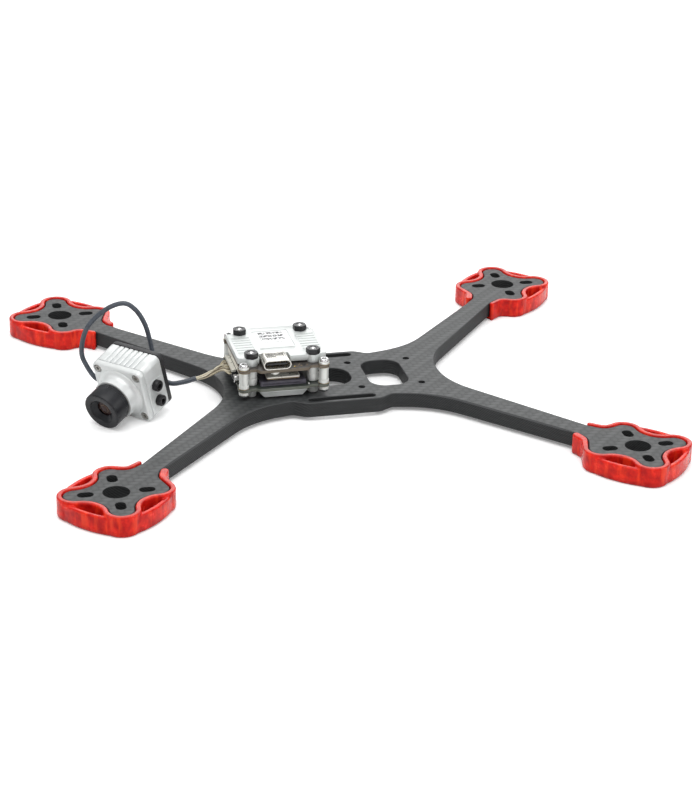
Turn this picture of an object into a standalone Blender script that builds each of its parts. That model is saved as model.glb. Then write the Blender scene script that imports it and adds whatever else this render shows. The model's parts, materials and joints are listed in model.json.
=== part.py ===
"""Five-inch FPV racing drone kit: unibody carbon frame, motor guards, video unit, camera.

Metres, +Z up, nose towards -Y, the drone's left side towards +X.
The origin is on the ground under the centre of the frame plate.
"""
import math

import bmesh
import bpy
from mathutils import Matrix, Vector
from mathutils.geometry import tessellate_polygon

MM = 0.001

# ---- driving dimensions, millimetres -------------------------------------------------
PLATE_BOTTOM = 1.25
PLATE_THICKNESS = 5.0
PLATE_TOP = PLATE_BOTTOM + PLATE_THICKNESS
MOTOR_X = 69.8
MOTOR_Y = 80.0
ARM_CHAMFER = 0.75

BORE_RADIUS = 4.0
MOTOR_SLOT_RADIUS = 9.0
MOTOR_SLOT_LENGTH = 4.8
MOTOR_SLOT_WIDTH = 3.1
LOBE_DISTANCE = 11.87
LOBE_RADIUS = 3.6
VALLEY_RADIUS = LOBE_DISTANCE - LOBE_RADIUS

HALF_WAIST = 19.6
NOTCH_Y = 35.9
NOTCH_RADIUS = 28.0
HOLE_PITCH = 20.0
M2_HOLE_RADIUS = 1.1
REAR_PATTERN_Y = 17.9
STACK_Y = -18.4

GUARD_GAP = 0.3
GUARD_WALL = 1.6
GUARD_TOP = PLATE_TOP + 0.4
GUARD_LIP = 0.9
FOOT_REACH = 1.5
BUMPER_TOP = GUARD_TOP - 0.9
BUMPER_BOTTOM = 0.2
BUMPER_RADIUS = 30.0
BUMPER_REACH = 15.0

POST_OFFSET = 12.95
POST_RADIUS = 1.5
COLLAR_RADIUS = 1.65
EAR_RADIUS = 1.75
SPACER_RADIUS = 1.9
STANDOFF_RADIUS = 1.6
SCREW_RADIUS = 0.85
LAYER_GAP = 0.1

CAMERA_HALF = 9.6
CAMERA_SCREW_OFFSET = 7.45
LENS_RADIUS = 6.45
LENS_FRONT = 10.6
FRONT_PLATE = 2.0
BODY_BACK = -10.4
COVER_BACK = -12.3
CAMERA_HEADING = math.radians(-45.9)
CAMERA_XY = (6.3, -69.5)
# The camera lies on its lower front edge and on the rim of its lens.
CAMERA_PITCH = math.atan2(CAMERA_HALF - LENS_RADIUS, LENS_FRONT)

# ---- materials -----------------------------------------------------------------------
# name: (red, green, blue), roughness, metallic
FINISHES = {
    "carbon": ((0.080, 0.085, 0.090), 0.45, 0.0),
    "guard_rubber": ((0.700, 0.030, 0.020), 0.32, 0.0),
    "anodised_silver": ((0.780, 0.790, 0.780), 0.38, 0.8),
    "label": ((0.850, 0.850, 0.850), 0.55, 0.0),
    "board": ((0.060, 0.075, 0.055), 0.50, 0.0),
    "steel": ((0.700, 0.700, 0.700), 0.28, 1.0),
    "black_steel": ((0.020, 0.020, 0.022), 0.40, 0.6),
    "nickel": ((0.740, 0.720, 0.680), 0.25, 1.0),
    "black_plastic": ((0.018, 0.018, 0.020), 0.50, 0.0),
    "connector": ((0.055, 0.050, 0.065), 0.50, 0.0),
    "spacer": ((0.760, 0.770, 0.750), 0.50, 0.0),
    "coax": ((0.360, 0.280, 0.200), 0.50, 0.0),
    "cable": ((0.060, 0.070, 0.085), 0.55, 0.0),
    "camera_shell": ((0.800, 0.810, 0.800), 0.42, 0.6),
    "lens_black": ((0.025, 0.026, 0.030), 0.45, 0.0),
    "lens_glass": ((0.060, 0.030, 0.020), 0.05, 0.0),
}


def clear_scene():
    """Remove the objects that a new file starts with."""
    for item in list(bpy.data.objects):
        bpy.data.objects.remove(item, do_unlink=True)


def material(name):
    """One Principled material per finish, made once."""
    found = bpy.data.materials.get(name)
    if found:
        return found
    colour, roughness, metallic = FINISHES[name]
    made = bpy.data.materials.new(name)
    made.use_nodes = True
    shader = made.node_tree.nodes["Principled BSDF"]
    shader.inputs["Base Color"].default_value = (*colour, 1.0)
    shader.inputs["Roughness"].default_value = roughness
    shader.inputs["Metallic"].default_value = metallic
    made.diffuse_color = (*colour, 1.0)
    return made


def node(name, mesh, finish, parent=None, place=(0, 0, 0), turn=(0, 0, 0)):
    """Put a mesh, given in millimetres, in the scene as one named sub-part."""
    item = bpy.data.objects.new(name, mesh)
    bpy.context.scene.collection.objects.link(item)
    if not mesh.materials:
        mesh.materials.append(material(finish))
    item.location = Vector(place) * MM
    item.rotation_euler = turn
    item.parent = parent
    return item


# ---- outlines ------------------------------------------------------------------------
def arc(centre, radius, start, end, steps):
    """Points on an arc, angles in degrees, both ends included."""
    points = []
    for step in range(steps + 1):
        angle = math.radians(start + (end - start) * step / steps)
        points.append((centre[0] + radius * math.cos(angle), centre[1] + radius * math.sin(angle)))
    return points


def circle(centre, radius, steps):
    return arc(centre, radius, 0, 360 * (steps - 1) / steps, steps - 1)


def rounded(corners, closed=True, arc_step=12.0):
    """Polygon corners (x, y, fillet radius) joined by lines and fillet arcs."""
    points = []
    count = len(corners)
    for index, (x, y, radius) in enumerate(corners):
        at_end = not closed and index in (0, count - 1)
        if radius == 0 or at_end:
            points.append((x, y))
            continue
        here = Vector((x, y))
        before = (Vector(corners[index - 1][:2]) - here).normalized()
        after = (Vector(corners[(index + 1) % count][:2]) - here).normalized()
        half_angle = before.angle(after) / 2
        tangent = radius / math.tan(half_angle)
        centre = here + (before + after).normalized() * (radius / math.sin(half_angle))
        first = here + before * tangent - centre
        turn = before.angle_signed(-after)
        steps = max(2, round(abs(math.degrees(turn)) / arc_step))
        for step in range(steps + 1):
            point = centre + Matrix.Rotation(-turn * step / steps, 2) @ first
            points.append((point.x, point.y))
    return points


def box_outline(half_x, half_y, corner, centre=(0, 0), arc_step=22.5):
    cx, cy = centre
    corners = [(cx + sx * half_x, cy + sy * half_y, corner) for sx, sy in ((1, -1), (1, 1), (-1, 1), (-1, -1))]
    return rounded(corners, arc_step=arc_step)


def slot_outline(centre, length, width, along_x, steps=6):
    """A straight slot with round ends."""
    radius = width / 2
    reach = length / 2 - radius
    if along_x:
        ends = arc((centre[0] + reach, centre[1]), radius, -90, 90, steps)
        return ends + arc((centre[0] - reach, centre[1]), radius, 90, 270, steps)
    ends = arc((centre[0], centre[1] + reach), radius, 0, 180, steps)
    return ends + arc((centre[0], centre[1] - reach), radius, 180, 360, steps)


def offset_path(points, distances):
    """An open path moved to its right-hand side, by one distance at each point."""
    moved = []
    last = len(points) - 1
    for index, point in enumerate(points):
        before = Vector(points[max(index - 1, 0)])
        after = Vector(points[min(index + 1, last)])
        here = Vector(point)
        into = (here - before).normalized() if index > 0 else (after - here).normalized()
        out = (after - here).normalized() if index < last else into
        normal = Vector((into.y + out.y, -into.x - out.x)).normalized()
        stretch = 1 / max(0.7, normal.dot(Vector((into.y, -into.x))))
        moved.append(tuple(here + normal * distances[index] * stretch))
    return moved


# ---- solids --------------------------------------------------------------------------
def finish_mesh(name, work, sharp_degrees=35):
    """Close a bmesh into a mesh in metres, faces out, round faces smooth."""
    bmesh.ops.remove_doubles(work, verts=work.verts, dist=1e-5)
    bmesh.ops.recalc_face_normals(work, faces=work.faces)
    bmesh.ops.scale(work, vec=(MM, MM, MM), verts=work.verts)
    mesh = bpy.data.meshes.new(name)
    work.to_mesh(mesh)
    work.free()
    mesh.shade_smooth()
    mesh.set_sharp_from_angle(angle=math.radians(sharp_degrees))
    return mesh


def add_prism(work, levels, holes=()):
    """Outer loops [(points, z), ...] from low to high, with straight holes through them.

    A loop between the lowest and the highest may give a list with a z for each point.
    """
    low = levels[0][1]
    high = levels[-1][1]
    rings = []
    for points, z in levels:
        heights = z if isinstance(z, list) else [z] * len(points)
        rings.append([work.verts.new((x, y, height)) for (x, y), height in zip(points, heights)])
    for lower, upper in zip(rings, rings[1:]):
        for index, corner in enumerate(lower):
            follower = (index + 1) % len(lower)
            work.faces.new((corner, lower[follower], upper[follower], upper[index]))
    caps = [list(rings[0]), list(rings[-1])]
    loops = [[levels[0][0]], [levels[-1][0]]]
    for hole in holes:
        bottom = [work.verts.new((x, y, low)) for x, y in hole]
        top = [work.verts.new((x, y, high)) for x, y in hole]
        for index, corner in enumerate(bottom):
            follower = (index + 1) % len(bottom)
            work.faces.new((bottom[follower], corner, top[index], top[follower]))
        caps[0].extend(bottom)
        caps[1].extend(top)
        loops[0].append(hole)
        loops[1].append(hole)
    for verts, outlines in zip(caps, loops):
        flat = [[Vector((x, y, 0)) for x, y in outline] for outline in outlines]
        for triangle in tessellate_polygon(flat):
            work.faces.new([verts[index] for index in triangle])


def prism(name, outline, low, high, holes=()):
    work = bmesh.new()
    add_prism(work, [(outline, low), (outline, high)], holes)
    return finish_mesh(name, work)


def turned(name, profile, steps, closed=False, sharp_degrees=35):
    """A body turned about Z from (radius, z) points, listed from bottom to top."""
    work = bmesh.new()
    rings = []
    for radius, z in profile:
        if radius == 0:
            rings.append([work.verts.new((0, 0, z))])
        else:
            rings.append([work.verts.new((x, y, z)) for x, y in circle((0, 0), radius, steps)])
    pairs = list(zip(rings, rings[1:]))
    if closed:
        pairs.append((rings[-1], rings[0]))
    for lower, upper in pairs:
        for index in range(steps):
            follower = (index + 1) % steps
            loop = [lower[index % len(lower)], lower[follower % len(lower)]]
            loop += [upper[follower % len(upper)], upper[index % len(upper)]]
            corners = []
            for corner in loop:
                if corner not in corners:
                    corners.append(corner)
            if len(corners) > 2:
                work.faces.new(corners)
    return finish_mesh(name, work, sharp_degrees)


def combine(target, others, operation):
    """Boolean modifiers with hidden tool bodies."""
    for other in others:
        other.hide_render = True
        other.display_type = "WIRE"
        step = target.modifiers.new(other.name, "BOOLEAN")
        step.operation = operation
        step.solver = "EXACT"
        step.object = other
    return target


def tool(name, mesh, parent=None, place=(0, 0, 0), turn=(0, 0, 0)):
    """A body that only cuts or joins another one."""
    return node(name, mesh, "steel", parent, place, turn)


def boxes(name, spans):
    """Several axis-aligned boxes, each (x0, x1, y0, y1, z0, z1), as one tool mesh."""
    work = bmesh.new()
    for x0, x1, y0, y1, z0, z1 in spans:
        outline = [(x0, y0), (x1, y0), (x1, y1), (x0, y1)]
        add_prism(work, [(outline, z0), (outline, z1)])
    return finish_mesh(name, work)


# ---- frame plate ---------------------------------------------------------------------
def outer_arm_x(y):
    return 32.65 + 1.0875 * (y - 42.0)


def inner_arm_x(y):
    return 17.58 + 1.255 * (y - 42.0)


def mount_edge():
    """Edge of one motor mount about its own centre, arm towards -X -Y.

    Runs counterclockwise from the arm's outer edge to its inner edge.
    """
    arm_end_y = -14.5
    outer_end = (outer_arm_x(MOTOR_Y + arm_end_y) - MOTOR_X, arm_end_y)
    inner_end_y = -10.0
    inner_end = (inner_arm_x(MOTOR_Y + inner_end_y) - MOTOR_X, inner_end_y)
    lobe = LOBE_DISTANCE
    first_lobe = arc((0, -lobe), LOBE_RADIUS, 248, 360, 5)
    last_lobe = arc((-lobe, 0), LOBE_RADIUS, 90, 218, 5)
    side_one = rounded([(*outer_end, 0), (-7.8, -13.2, 5.0), (*first_lobe[0], 0)], closed=False, arc_step=16)
    side_two = rounded([(*last_lobe[-1], 0), (-13.7, -5.6, 4.0), (*inner_end, 0)], closed=False, arc_step=20)
    path = side_one[:-1] + first_lobe
    path += arc((lobe, -lobe), VALLEY_RADIUS, 180, 90, 4)[1:]
    path += arc((lobe, 0), LOBE_RADIUS, -90, 90, 8)[1:]
    path += arc((lobe, lobe), VALLEY_RADIUS, 270, 180, 4)[1:]
    path += arc((0, lobe), LOBE_RADIUS, 0, 180, 8)[1:]
    path += arc((-lobe, lobe), VALLEY_RADIUS, 0, -90, 4)[1:]
    path += last_lobe[1:] + side_two[1:]
    return path


def quadrant():
    """Plate edge of the +X +Y quarter, with the size of the top chamfer at each point."""
    shoulder_y = 30.1
    waist = [(HALF_WAIST, 0, 0), (HALF_WAIST, 12.08, 5.0), (16.86, 16.29, 3.0),
             (outer_arm_x(shoulder_y), shoulder_y, 30.0)]
    mount = [(x + MOTOR_X, y + MOTOR_Y) for x, y in mount_edge()]
    side = rounded([*waist, (*mount[0], 0)], closed=False, arc_step=7.0)
    notch_corner_x = inner_arm_x(NOTCH_Y)
    nose = rounded([(*mount[-1], 0), (notch_corner_x, NOTCH_Y, NOTCH_RADIUS), (0, NOTCH_Y, 0)],
                   closed=False, arc_step=8.0)
    side[-1:-1] = [(outer_arm_x(y), y) for y in (40.0, 50.0, 60.0, 62.0)]
    edge = side + mount[1:] + nose[1:]
    chamfer = []
    for index, (_, y) in enumerate(edge):
        fade = min(1.0, (y - 26.0) / 8.0, (64.0 - y) / 3.0)
        chamfer.append(ARM_CHAMFER * max(0.0, fade) if index < len(side) else 0.0)
    return edge, chamfer


def plate_outline():
    """Whole plate edge, counterclockwise, its top edge inside the chamfer, and the chamfer's size."""
    edge, chamfer = quadrant()
    inset = offset_path(edge, [-width for width in chamfer])
    sizes = chamfer[:-1] + chamfer[:0:-1] + chamfer[:-1] + chamfer[:0:-1]
    outlines = []
    for path in (edge, inset):
        loop = list(path[:-1])
        loop += [(-x, y) for x, y in reversed(path)][:-1]
        loop += [(-x, -y) for x, y in path[:-1]]
        loop += [(x, -y) for x, y in reversed(path)][:-1]
        outlines.append(loop)
    return *outlines, sizes


def plate_holes():
    holes = []
    for sx in (1, -1):
        for sy in (1, -1):
            centre = (sx * MOTOR_X, sy * MOTOR_Y)
            holes.append(circle(centre, BORE_RADIUS, 20))
            for dx, dy in ((1, 0), (-1, 0), (0, 1), (0, -1)):
                middle = (centre[0] + dx * MOTOR_SLOT_RADIUS, centre[1] + dy * MOTOR_SLOT_RADIUS)
                holes.append(slot_outline(middle, MOTOR_SLOT_LENGTH, MOTOR_SLOT_WIDTH, dx != 0, 4))
    for pattern_y in (STACK_Y, REAR_PATTERN_Y):
        for sx in (1, -1):
            for sy in (1, -1):
                centre = (sx * HOLE_PITCH / 2, pattern_y + sy * HOLE_PITCH / 2)
                holes.append(circle(centre, M2_HOLE_RADIUS, 10))
        window_y = math.copysign(17.98, pattern_y)
        holes.append(box_outline(10.3, 6.47, 5.0, (0, window_y), 18))
    holes.append(box_outline(6.95, 6.35, 5.9, (0, 0), 18))
    for sx in (1, -1):
        holes.append(slot_outline((sx * 16.95, -0.3), 22.0, 2.7, False, 4))
    return holes


def make_frame_plate():
    outline, inset, sizes = plate_outline()
    chamfer_low = [PLATE_TOP - size for size in sizes]
    levels = [(outline, PLATE_BOTTOM), (outline, chamfer_low), (inset, PLATE_TOP)]
    work = bmesh.new()
    add_prism(work, levels, plate_holes())
    return node("frame_plate", finish_mesh("frame_plate", work), "carbon")


# ---- motor guards --------------------------------------------------------------------
def bumper_circle(wall_in):
    """Centre distance and radius of a bumper arc that bridges two lobes."""
    radius = BUMPER_RADIUS
    reach = BUMPER_REACH
    return reach - radius, radius - wall_in


def bumper_arc(diagonal, wall_in=0.0, steps=6):
    """The outer bumper wall across one diagonal, between two lobes, counterclockwise."""
    distance, radius = bumper_circle(wall_in)
    angle = math.radians(diagonal)
    centre = Vector((math.cos(angle), math.sin(angle))) * distance
    lobe_angle = math.radians(diagonal - 45)
    lobe = Vector((math.cos(lobe_angle), math.sin(lobe_angle))) * LOBE_DISTANCE
    away = lobe - centre
    start = math.degrees(math.atan2(away.y, away.x))
    half = (diagonal - start + 180) % 360 - 180
    return arc(tuple(centre), radius, start, start + 2 * half, steps)


def guard_paths():
    """Edge of the mount and the guard wall's thickness at each of its points."""
    edge = mount_edge()
    walls = []
    for x, y in edge:
        hook = max(0.0, min(1.0, (-x - 5.0) / 4.0)) if y < -12.0 else 0.0
        walls.append(GUARD_WALL + 0.8 * hook)
    return edge, walls


def guard_loops():
    """Outline of the wall that follows the mount, and of the foot that reaches under the plate."""
    edge, walls = guard_paths()
    outer = offset_path(edge, [GUARD_GAP + wall for wall in walls])
    inner = offset_path(edge, [GUARD_GAP] * len(edge))
    under = offset_path(edge, [-FOOT_REACH] * len(edge))
    return outer + inner[::-1], outer + under[::-1]


def bumper_outline(diagonal):
    """A bumper wall that bridges two lobes, its ends inside the wall around them."""
    return bumper_arc(diagonal, 0.04) + bumper_arc(diagonal, GUARD_WALL - 0.1)[::-1]


def mirrored(outline, sx, sy):
    """An outline in another quarter of the frame, still counterclockwise."""
    moved = [(sx * (x + MOTOR_X), sy * (y + MOTOR_Y)) for x, y in outline]
    return moved if sx * sy > 0 else moved[::-1]


def make_guard(name, sx, sy):
    wall, foot = [mirrored(loop, sx, sy) for loop in guard_loops()]
    levels = [(foot, 0), (foot, GUARD_LIP), (wall, GUARD_LIP), (wall, GUARD_TOP)]
    work = bmesh.new()
    add_prism(work, levels)
    guard = node(name, finish_mesh(name, work), "guard_rubber")
    bumpers = []
    for index, diagonal in enumerate((-45, 45, 135)):
        bumper_name = f"{name}_bumper_{index}"
        outline = mirrored(bumper_outline(diagonal), sx, sy)
        bumpers.append(tool(bumper_name, prism(bumper_name, outline, BUMPER_BOTTOM, BUMPER_TOP)))
    return combine(guard, bumpers, "UNION")


# ---- video unit ----------------------------------------------------------------------
LOWER_BOARD = PLATE_TOP + 3.0
UPPER_BOARD = PLATE_TOP + 9.5
BOARD_THICKNESS = 1.0
HEATSINK_BOTTOM = PLATE_TOP + 11.2
HEATSINK_TOP = PLATE_TOP + 13.1
NUT_HEIGHT = 1.75
CORNERS = ((1, -1), (1, 1), (-1, 1), (-1, -1))


def stack_point(x, y):
    return (x, STACK_Y + y)


def board_outline(half, front):
    """Rounded square with an ear around each corner post and a front that bulges by front."""
    ear = POST_OFFSET
    radius = EAR_RADIUS
    corners = [
        (half, -9.0, 0), (half + front, -8.0, 0), (half + front, 7.6, 0), (half, 8.6, 0),
        (half, ear - radius, 0), (ear + radius, ear - radius, 0), (ear + radius, ear + radius, radius),
        (ear - radius, ear + radius, 0), (ear - radius, half + 0.4, 0),
        (-ear + radius, half + 0.4, 0), (-ear + radius, ear + radius, 0),
        (-ear - radius, ear + radius, radius), (-ear - radius, ear - radius, 0), (-half, ear - radius, 0),
        (-half, -ear + radius, 0), (-ear - radius, -ear + radius, 0), (-ear - radius, -ear - radius, radius),
        (-ear + radius, -ear - radius, 0), (-ear + radius, -half - 0.4, 0),
        (ear - radius, -half - 0.4, 0), (ear - radius, -ear - radius, 0),
        (ear + radius, -ear - radius, radius), (ear + radius, -ear + radius, 0), (half, -ear + radius, 0),
    ]
    placed = [(*stack_point(x, y), radius) for x, y, radius in corners]
    return rounded(placed, arc_step=30)


def stack_holes(corner_radius, inner_radius):
    holes = []
    for sx, sy in CORNERS:
        if corner_radius:
            holes.append(circle(stack_point(sx * POST_OFFSET, sy * POST_OFFSET), corner_radius, 8))
        if inner_radius:
            inner = stack_point(sx * HOLE_PITCH / 2, sy * HOLE_PITCH / 2)
            holes.append(circle(inner, inner_radius, 8))
    return holes


def make_boards():
    holes = stack_holes(1.05, M2_HOLE_RADIUS)
    lower = prism("video_lower_board", board_outline(13.9, 0.9), LOWER_BOARD,
                  LOWER_BOARD + BOARD_THICKNESS, holes)
    upper = prism("video_upper_board", board_outline(13.6, 1.6), UPPER_BOARD,
                  UPPER_BOARD + BOARD_THICKNESS, holes)
    node("video_lower_board", lower, "board")
    node("video_upper_board", upper, "board")


def tube(name, outer, inner, low, high, steps=10):
    profile = [(inner, low), (outer, low), (outer, high), (inner, high)]
    return turned(name, profile, steps, closed=True)


def make_stack_columns():
    """Posts and screws at the corners; spacers, screws and nuts on the inner pattern."""
    board_top = LOWER_BOARD + BOARD_THICKNESS
    upper_top = UPPER_BOARD + BOARD_THICKNESS
    low = board_top + LAYER_GAP
    post = turned("corner_post", [
        (0.95, low), (COLLAR_RADIUS, low), (COLLAR_RADIUS, low + 1.3), (POST_RADIUS, low + 1.4),
        (POST_RADIUS, UPPER_BOARD - LAYER_GAP), (0.95, UPPER_BOARD - LAYER_GAP)], 10, closed=True)
    spacer = tube("inner_spacer", SPACER_RADIUS, M2_HOLE_RADIUS, board_top + LAYER_GAP, UPPER_BOARD - LAYER_GAP)
    standoff = tube("base_standoff", STANDOFF_RADIUS, M2_HOLE_RADIUS, PLATE_TOP + LAYER_GAP, LOWER_BOARD - LAYER_GAP)
    head = upper_top + LAYER_GAP
    shank = UPPER_BOARD - 2.2
    top_screw = turned("top_screw", [
        (0, shank), (0.75, shank), (0.75, head), (COLLAR_RADIUS, head), (COLLAR_RADIUS, head + 0.8),
        (1.5, head + 0.8), (1.5, head + 1.7), (0.75, head + 1.7), (0.75, head + 0.9), (0, head + 0.9)], 8)
    under = LOWER_BOARD - LAYER_GAP
    bottom_screw = turned("bottom_screw", [
        (0, under - 1.9), (1.1, under - 1.9), (COLLAR_RADIUS, under - 1.2), (COLLAR_RADIUS, under), (0.75, under),
        (0.75, board_top + 2.2), (0, board_top + 2.2)], 8)
    nut_low = HEATSINK_TOP + LAYER_GAP
    nut_high = nut_low + NUT_HEIGHT
    hexagon = circle((0, 0), 2.0 / math.cos(math.pi / 6), 6)
    nut = prism("mounting_nut", hexagon, nut_low, nut_high, [circle((0, 0), 1.05, 8)])
    seat = PLATE_BOTTOM - LAYER_GAP
    bolt = turned("mounting_screw", [
        (0, seat - 0.95), (1.2, seat - 0.95), (1.75, seat - 0.5), (1.75, seat), (SCREW_RADIUS, seat),
        (SCREW_RADIUS, nut_high + 0.35), (0, nut_high + 0.35)], 8)
    names = ("front_left", "rear_left", "rear_right", "front_right")
    for (sx, sy), corner in zip(CORNERS, names):
        outer_place = (*stack_point(sx * POST_OFFSET, sy * POST_OFFSET), 0)
        inner_place = (*stack_point(sx * HOLE_PITCH / 2, sy * HOLE_PITCH / 2), 0)
        node("corner_post_" + corner, post, "anodised_silver", None, outer_place)
        node("top_screw_" + corner, top_screw, "steel", None, outer_place)
        node("bottom_screw_" + corner, bottom_screw, "steel", None, outer_place)
        node("inner_spacer_" + corner, spacer, "spacer", None, inner_place)
        node("base_standoff_" + corner, standoff, "spacer", None, inner_place)
        node("mounting_nut_" + corner, nut, "black_steel", None, inner_place)
        node("mounting_screw_" + corner, bolt, "steel", None, inner_place)


USB_Y = STACK_Y - 2.6
USB_BACK = 8.2
USB_FRONT = 15.5
USB_HALF_WIDTH = 4.47
USB_HEIGHT = 3.2
USB_BOTTOM = UPPER_BOARD + BOARD_THICKNESS + LAYER_GAP
LABEL_BOX = (-11.0, 2.4, STACK_Y - 6.0, STACK_Y + 5.9)
LABEL_DEPTH = 0.35
GROOVE_DEPTH = 0.3
BOSS_RADIUS = 2.05


def make_top_heatsink():
    front = 10.9
    back = -14.2
    side = 14.4
    clear = EAR_RADIUS + 0.95
    outline = [(front, -POST_OFFSET + 1.0, 1.0), (front, POST_OFFSET - 1.0, 1.0),
               (POST_OFFSET - clear - 0.4, side, 1.2), (-POST_OFFSET + clear, side, 0.5),
               (-POST_OFFSET + clear, POST_OFFSET - clear, 2.2), (back, POST_OFFSET - clear, 0.5),
               (back, -POST_OFFSET + clear, 0.5), (-POST_OFFSET + clear, -POST_OFFSET + clear, 2.2),
               (-POST_OFFSET + clear, -side, 0.5), (POST_OFFSET - clear - 0.4, -side, 1.2)]
    placed = [(*stack_point(x, y), radius) for x, y, radius in outline]
    slab = prism("video_top_heatsink", rounded(placed, arc_step=30), HEATSINK_BOTTOM, HEATSINK_TOP)
    heatsink = node("video_top_heatsink", slab, "anodised_silver")
    boss = turned("heatsink_boss", [(0, UPPER_BOARD + BOARD_THICKNESS + LAYER_GAP),
                                    (BOSS_RADIUS, UPPER_BOARD + BOARD_THICKNESS + LAYER_GAP),
                                    (BOSS_RADIUS, HEATSINK_TOP + 0.02), (0, HEATSINK_TOP + 0.02)], 12)
    drill = turned("heatsink_drill", [(0, UPPER_BOARD), (M2_HOLE_RADIUS, UPPER_BOARD),
                                      (M2_HOLE_RADIUS, HEATSINK_TOP + 2), (0, HEATSINK_TOP + 2)], 8)
    bosses = []
    drills = []
    for index, (sx, sy) in enumerate(CORNERS):
        place = (*stack_point(sx * HOLE_PITCH / 2, sy * HOLE_PITCH / 2), 0)
        bosses.append(tool(f"heatsink_boss_{index}", boss, None, place))
        drills.append(tool(f"heatsink_drill_{index}", drill, None, place))
    combine(heatsink, bosses, "UNION")
    combine(heatsink, drills, "DIFFERENCE")
    groove_low = HEATSINK_TOP - GROOVE_DEPTH
    high = HEATSINK_TOP + 1.0
    x0, x1, y0, y1 = LABEL_BOX
    spans = [(x0, x1, y0, y1, HEATSINK_TOP - LABEL_DEPTH, high),
             (USB_BACK - 0.5, USB_FRONT + 1, USB_Y - USB_HALF_WIDTH - 0.5, USB_Y + USB_HALF_WIDTH + 0.5,
              UPPER_BOARD, high + 1)]
    for index in range(4):
        x = -3.6 + 2.0 * index
        for low_y, high_y in ((STACK_Y - 13.6, STACK_Y - 7.2), (STACK_Y + 7.2, STACK_Y + 13.6)):
            spans.append((x, x + 0.7, low_y, high_y, groove_low, high))
    cutter = tool("heatsink_cutter", boxes("heatsink_cutter", spans))
    combine(heatsink, [cutter], "DIFFERENCE")


def make_bottom_heatsink():
    half = 7.75
    low = PLATE_TOP + 0.7
    high = LOWER_BOARD - LAYER_GAP
    middle = (0, STACK_Y - 0.25)
    narrow = box_outline(13.9, half - 1.3, 0.4, middle)
    wide = box_outline(13.9, half, 0.4, middle)
    work = bmesh.new()
    add_prism(work, [(narrow, low), (wide, low + 1.5), (wide, high)])
    node("video_bottom_heatsink", finish_mesh("video_bottom_heatsink", work), "anodised_silver")


def make_board_parts():
    """Label, socket shells and the blocks between the two boards."""
    x0, x1, y0, y1 = LABEL_BOX
    centre = ((x0 + x1) / 2, (y0 + y1) / 2)
    label_low = HEATSINK_TOP - LABEL_DEPTH + 0.05
    label_outline = box_outline((x1 - x0) / 2 - 0.2, (y1 - y0) / 2 - 0.2, 0.4, centre)
    node("video_label", prism("video_label", label_outline, label_low, label_low + 0.15), "label")

    board_top = LOWER_BOARD + BOARD_THICKNESS + LAYER_GAP
    block_outline = box_outline(10.85, 7.4, 0.3, (2.45, STACK_Y - 0.2))
    block = prism("board_connector", block_outline, board_top, board_top + 1.6)
    node("board_connector", block, "connector")
    shield_outline = box_outline(10.15, 5.45, 0.5, (2.05, STACK_Y))
    shield = prism("radio_shield", shield_outline, board_top + 1.7, board_top + 2.7)
    node("radio_shield", shield, "nickel")

    socket_outline = box_outline(5.8, 1.4, 0.2, (-1.4, STACK_Y - 13.8))
    socket = prism("camera_socket", socket_outline, board_top, board_top + 3.05)
    node("camera_socket", socket, "black_plastic")


def make_usb_port():
    """Shell open towards the drone's left side, with its contact tongue inside."""
    radius = USB_HEIGHT / 2
    wall = 0.35
    middle = USB_BOTTOM + radius
    length = USB_FRONT - USB_BACK
    quarter = math.pi / 2
    turn = (quarter, 0, quarter)
    outer = slot_outline((0, 0), 2 * USB_HALF_WIDTH, USB_HEIGHT, True, 8)
    inner = slot_outline((0, 0), 2 * (USB_HALF_WIDTH - wall), USB_HEIGHT - 2 * wall, True, 8)
    shell = node("usb_shell", prism("usb_shell", outer, 0, length), "nickel", None,
                 (USB_BACK, USB_Y, middle), turn)
    cavity = tool("usb_cavity", prism("usb_cavity", inner, 0.6, length + 1), None,
                  (USB_BACK, USB_Y, middle), turn)
    combine(shell, [cavity], "DIFFERENCE")
    tongue = prism("usb_tongue", box_outline(3.35, 0.35, 0.15), 0.7, length - 0.9)
    node("usb_tongue", tongue, "black_plastic", None, (USB_BACK, USB_Y, middle), turn)


# ---- camera --------------------------------------------------------------------------
def camera_matrix():
    """Camera axes: X to its right seen from the front, Y up, Z out of the lens."""
    heading = Vector((math.cos(CAMERA_HEADING), math.sin(CAMERA_HEADING), 0))
    up = Vector((0, 0, 1))
    forward = heading * math.cos(CAMERA_PITCH) - up * math.sin(CAMERA_PITCH)
    right = up.cross(forward).normalized()
    rise = forward.cross(right)
    turn = Matrix((right, rise, forward)).transposed().to_4x4()
    height = CAMERA_HALF * math.cos(CAMERA_PITCH)
    return Matrix.Translation(Vector((*CAMERA_XY, height)) * MM) @ turn


def camera_empty():
    empty = bpy.data.objects.new("camera_axes", None)
    bpy.context.scene.collection.objects.link(empty)
    empty.matrix_world = camera_matrix()
    return empty


def square(half, corner, arc_step=22.5):
    return box_outline(half, half, corner, arc_step=arc_step)


def screw_circles(radius):
    offset = CAMERA_SCREW_OFFSET
    return [circle((sx * offset, sy * offset), radius, 8) for sx, sy in CORNERS]


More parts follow.
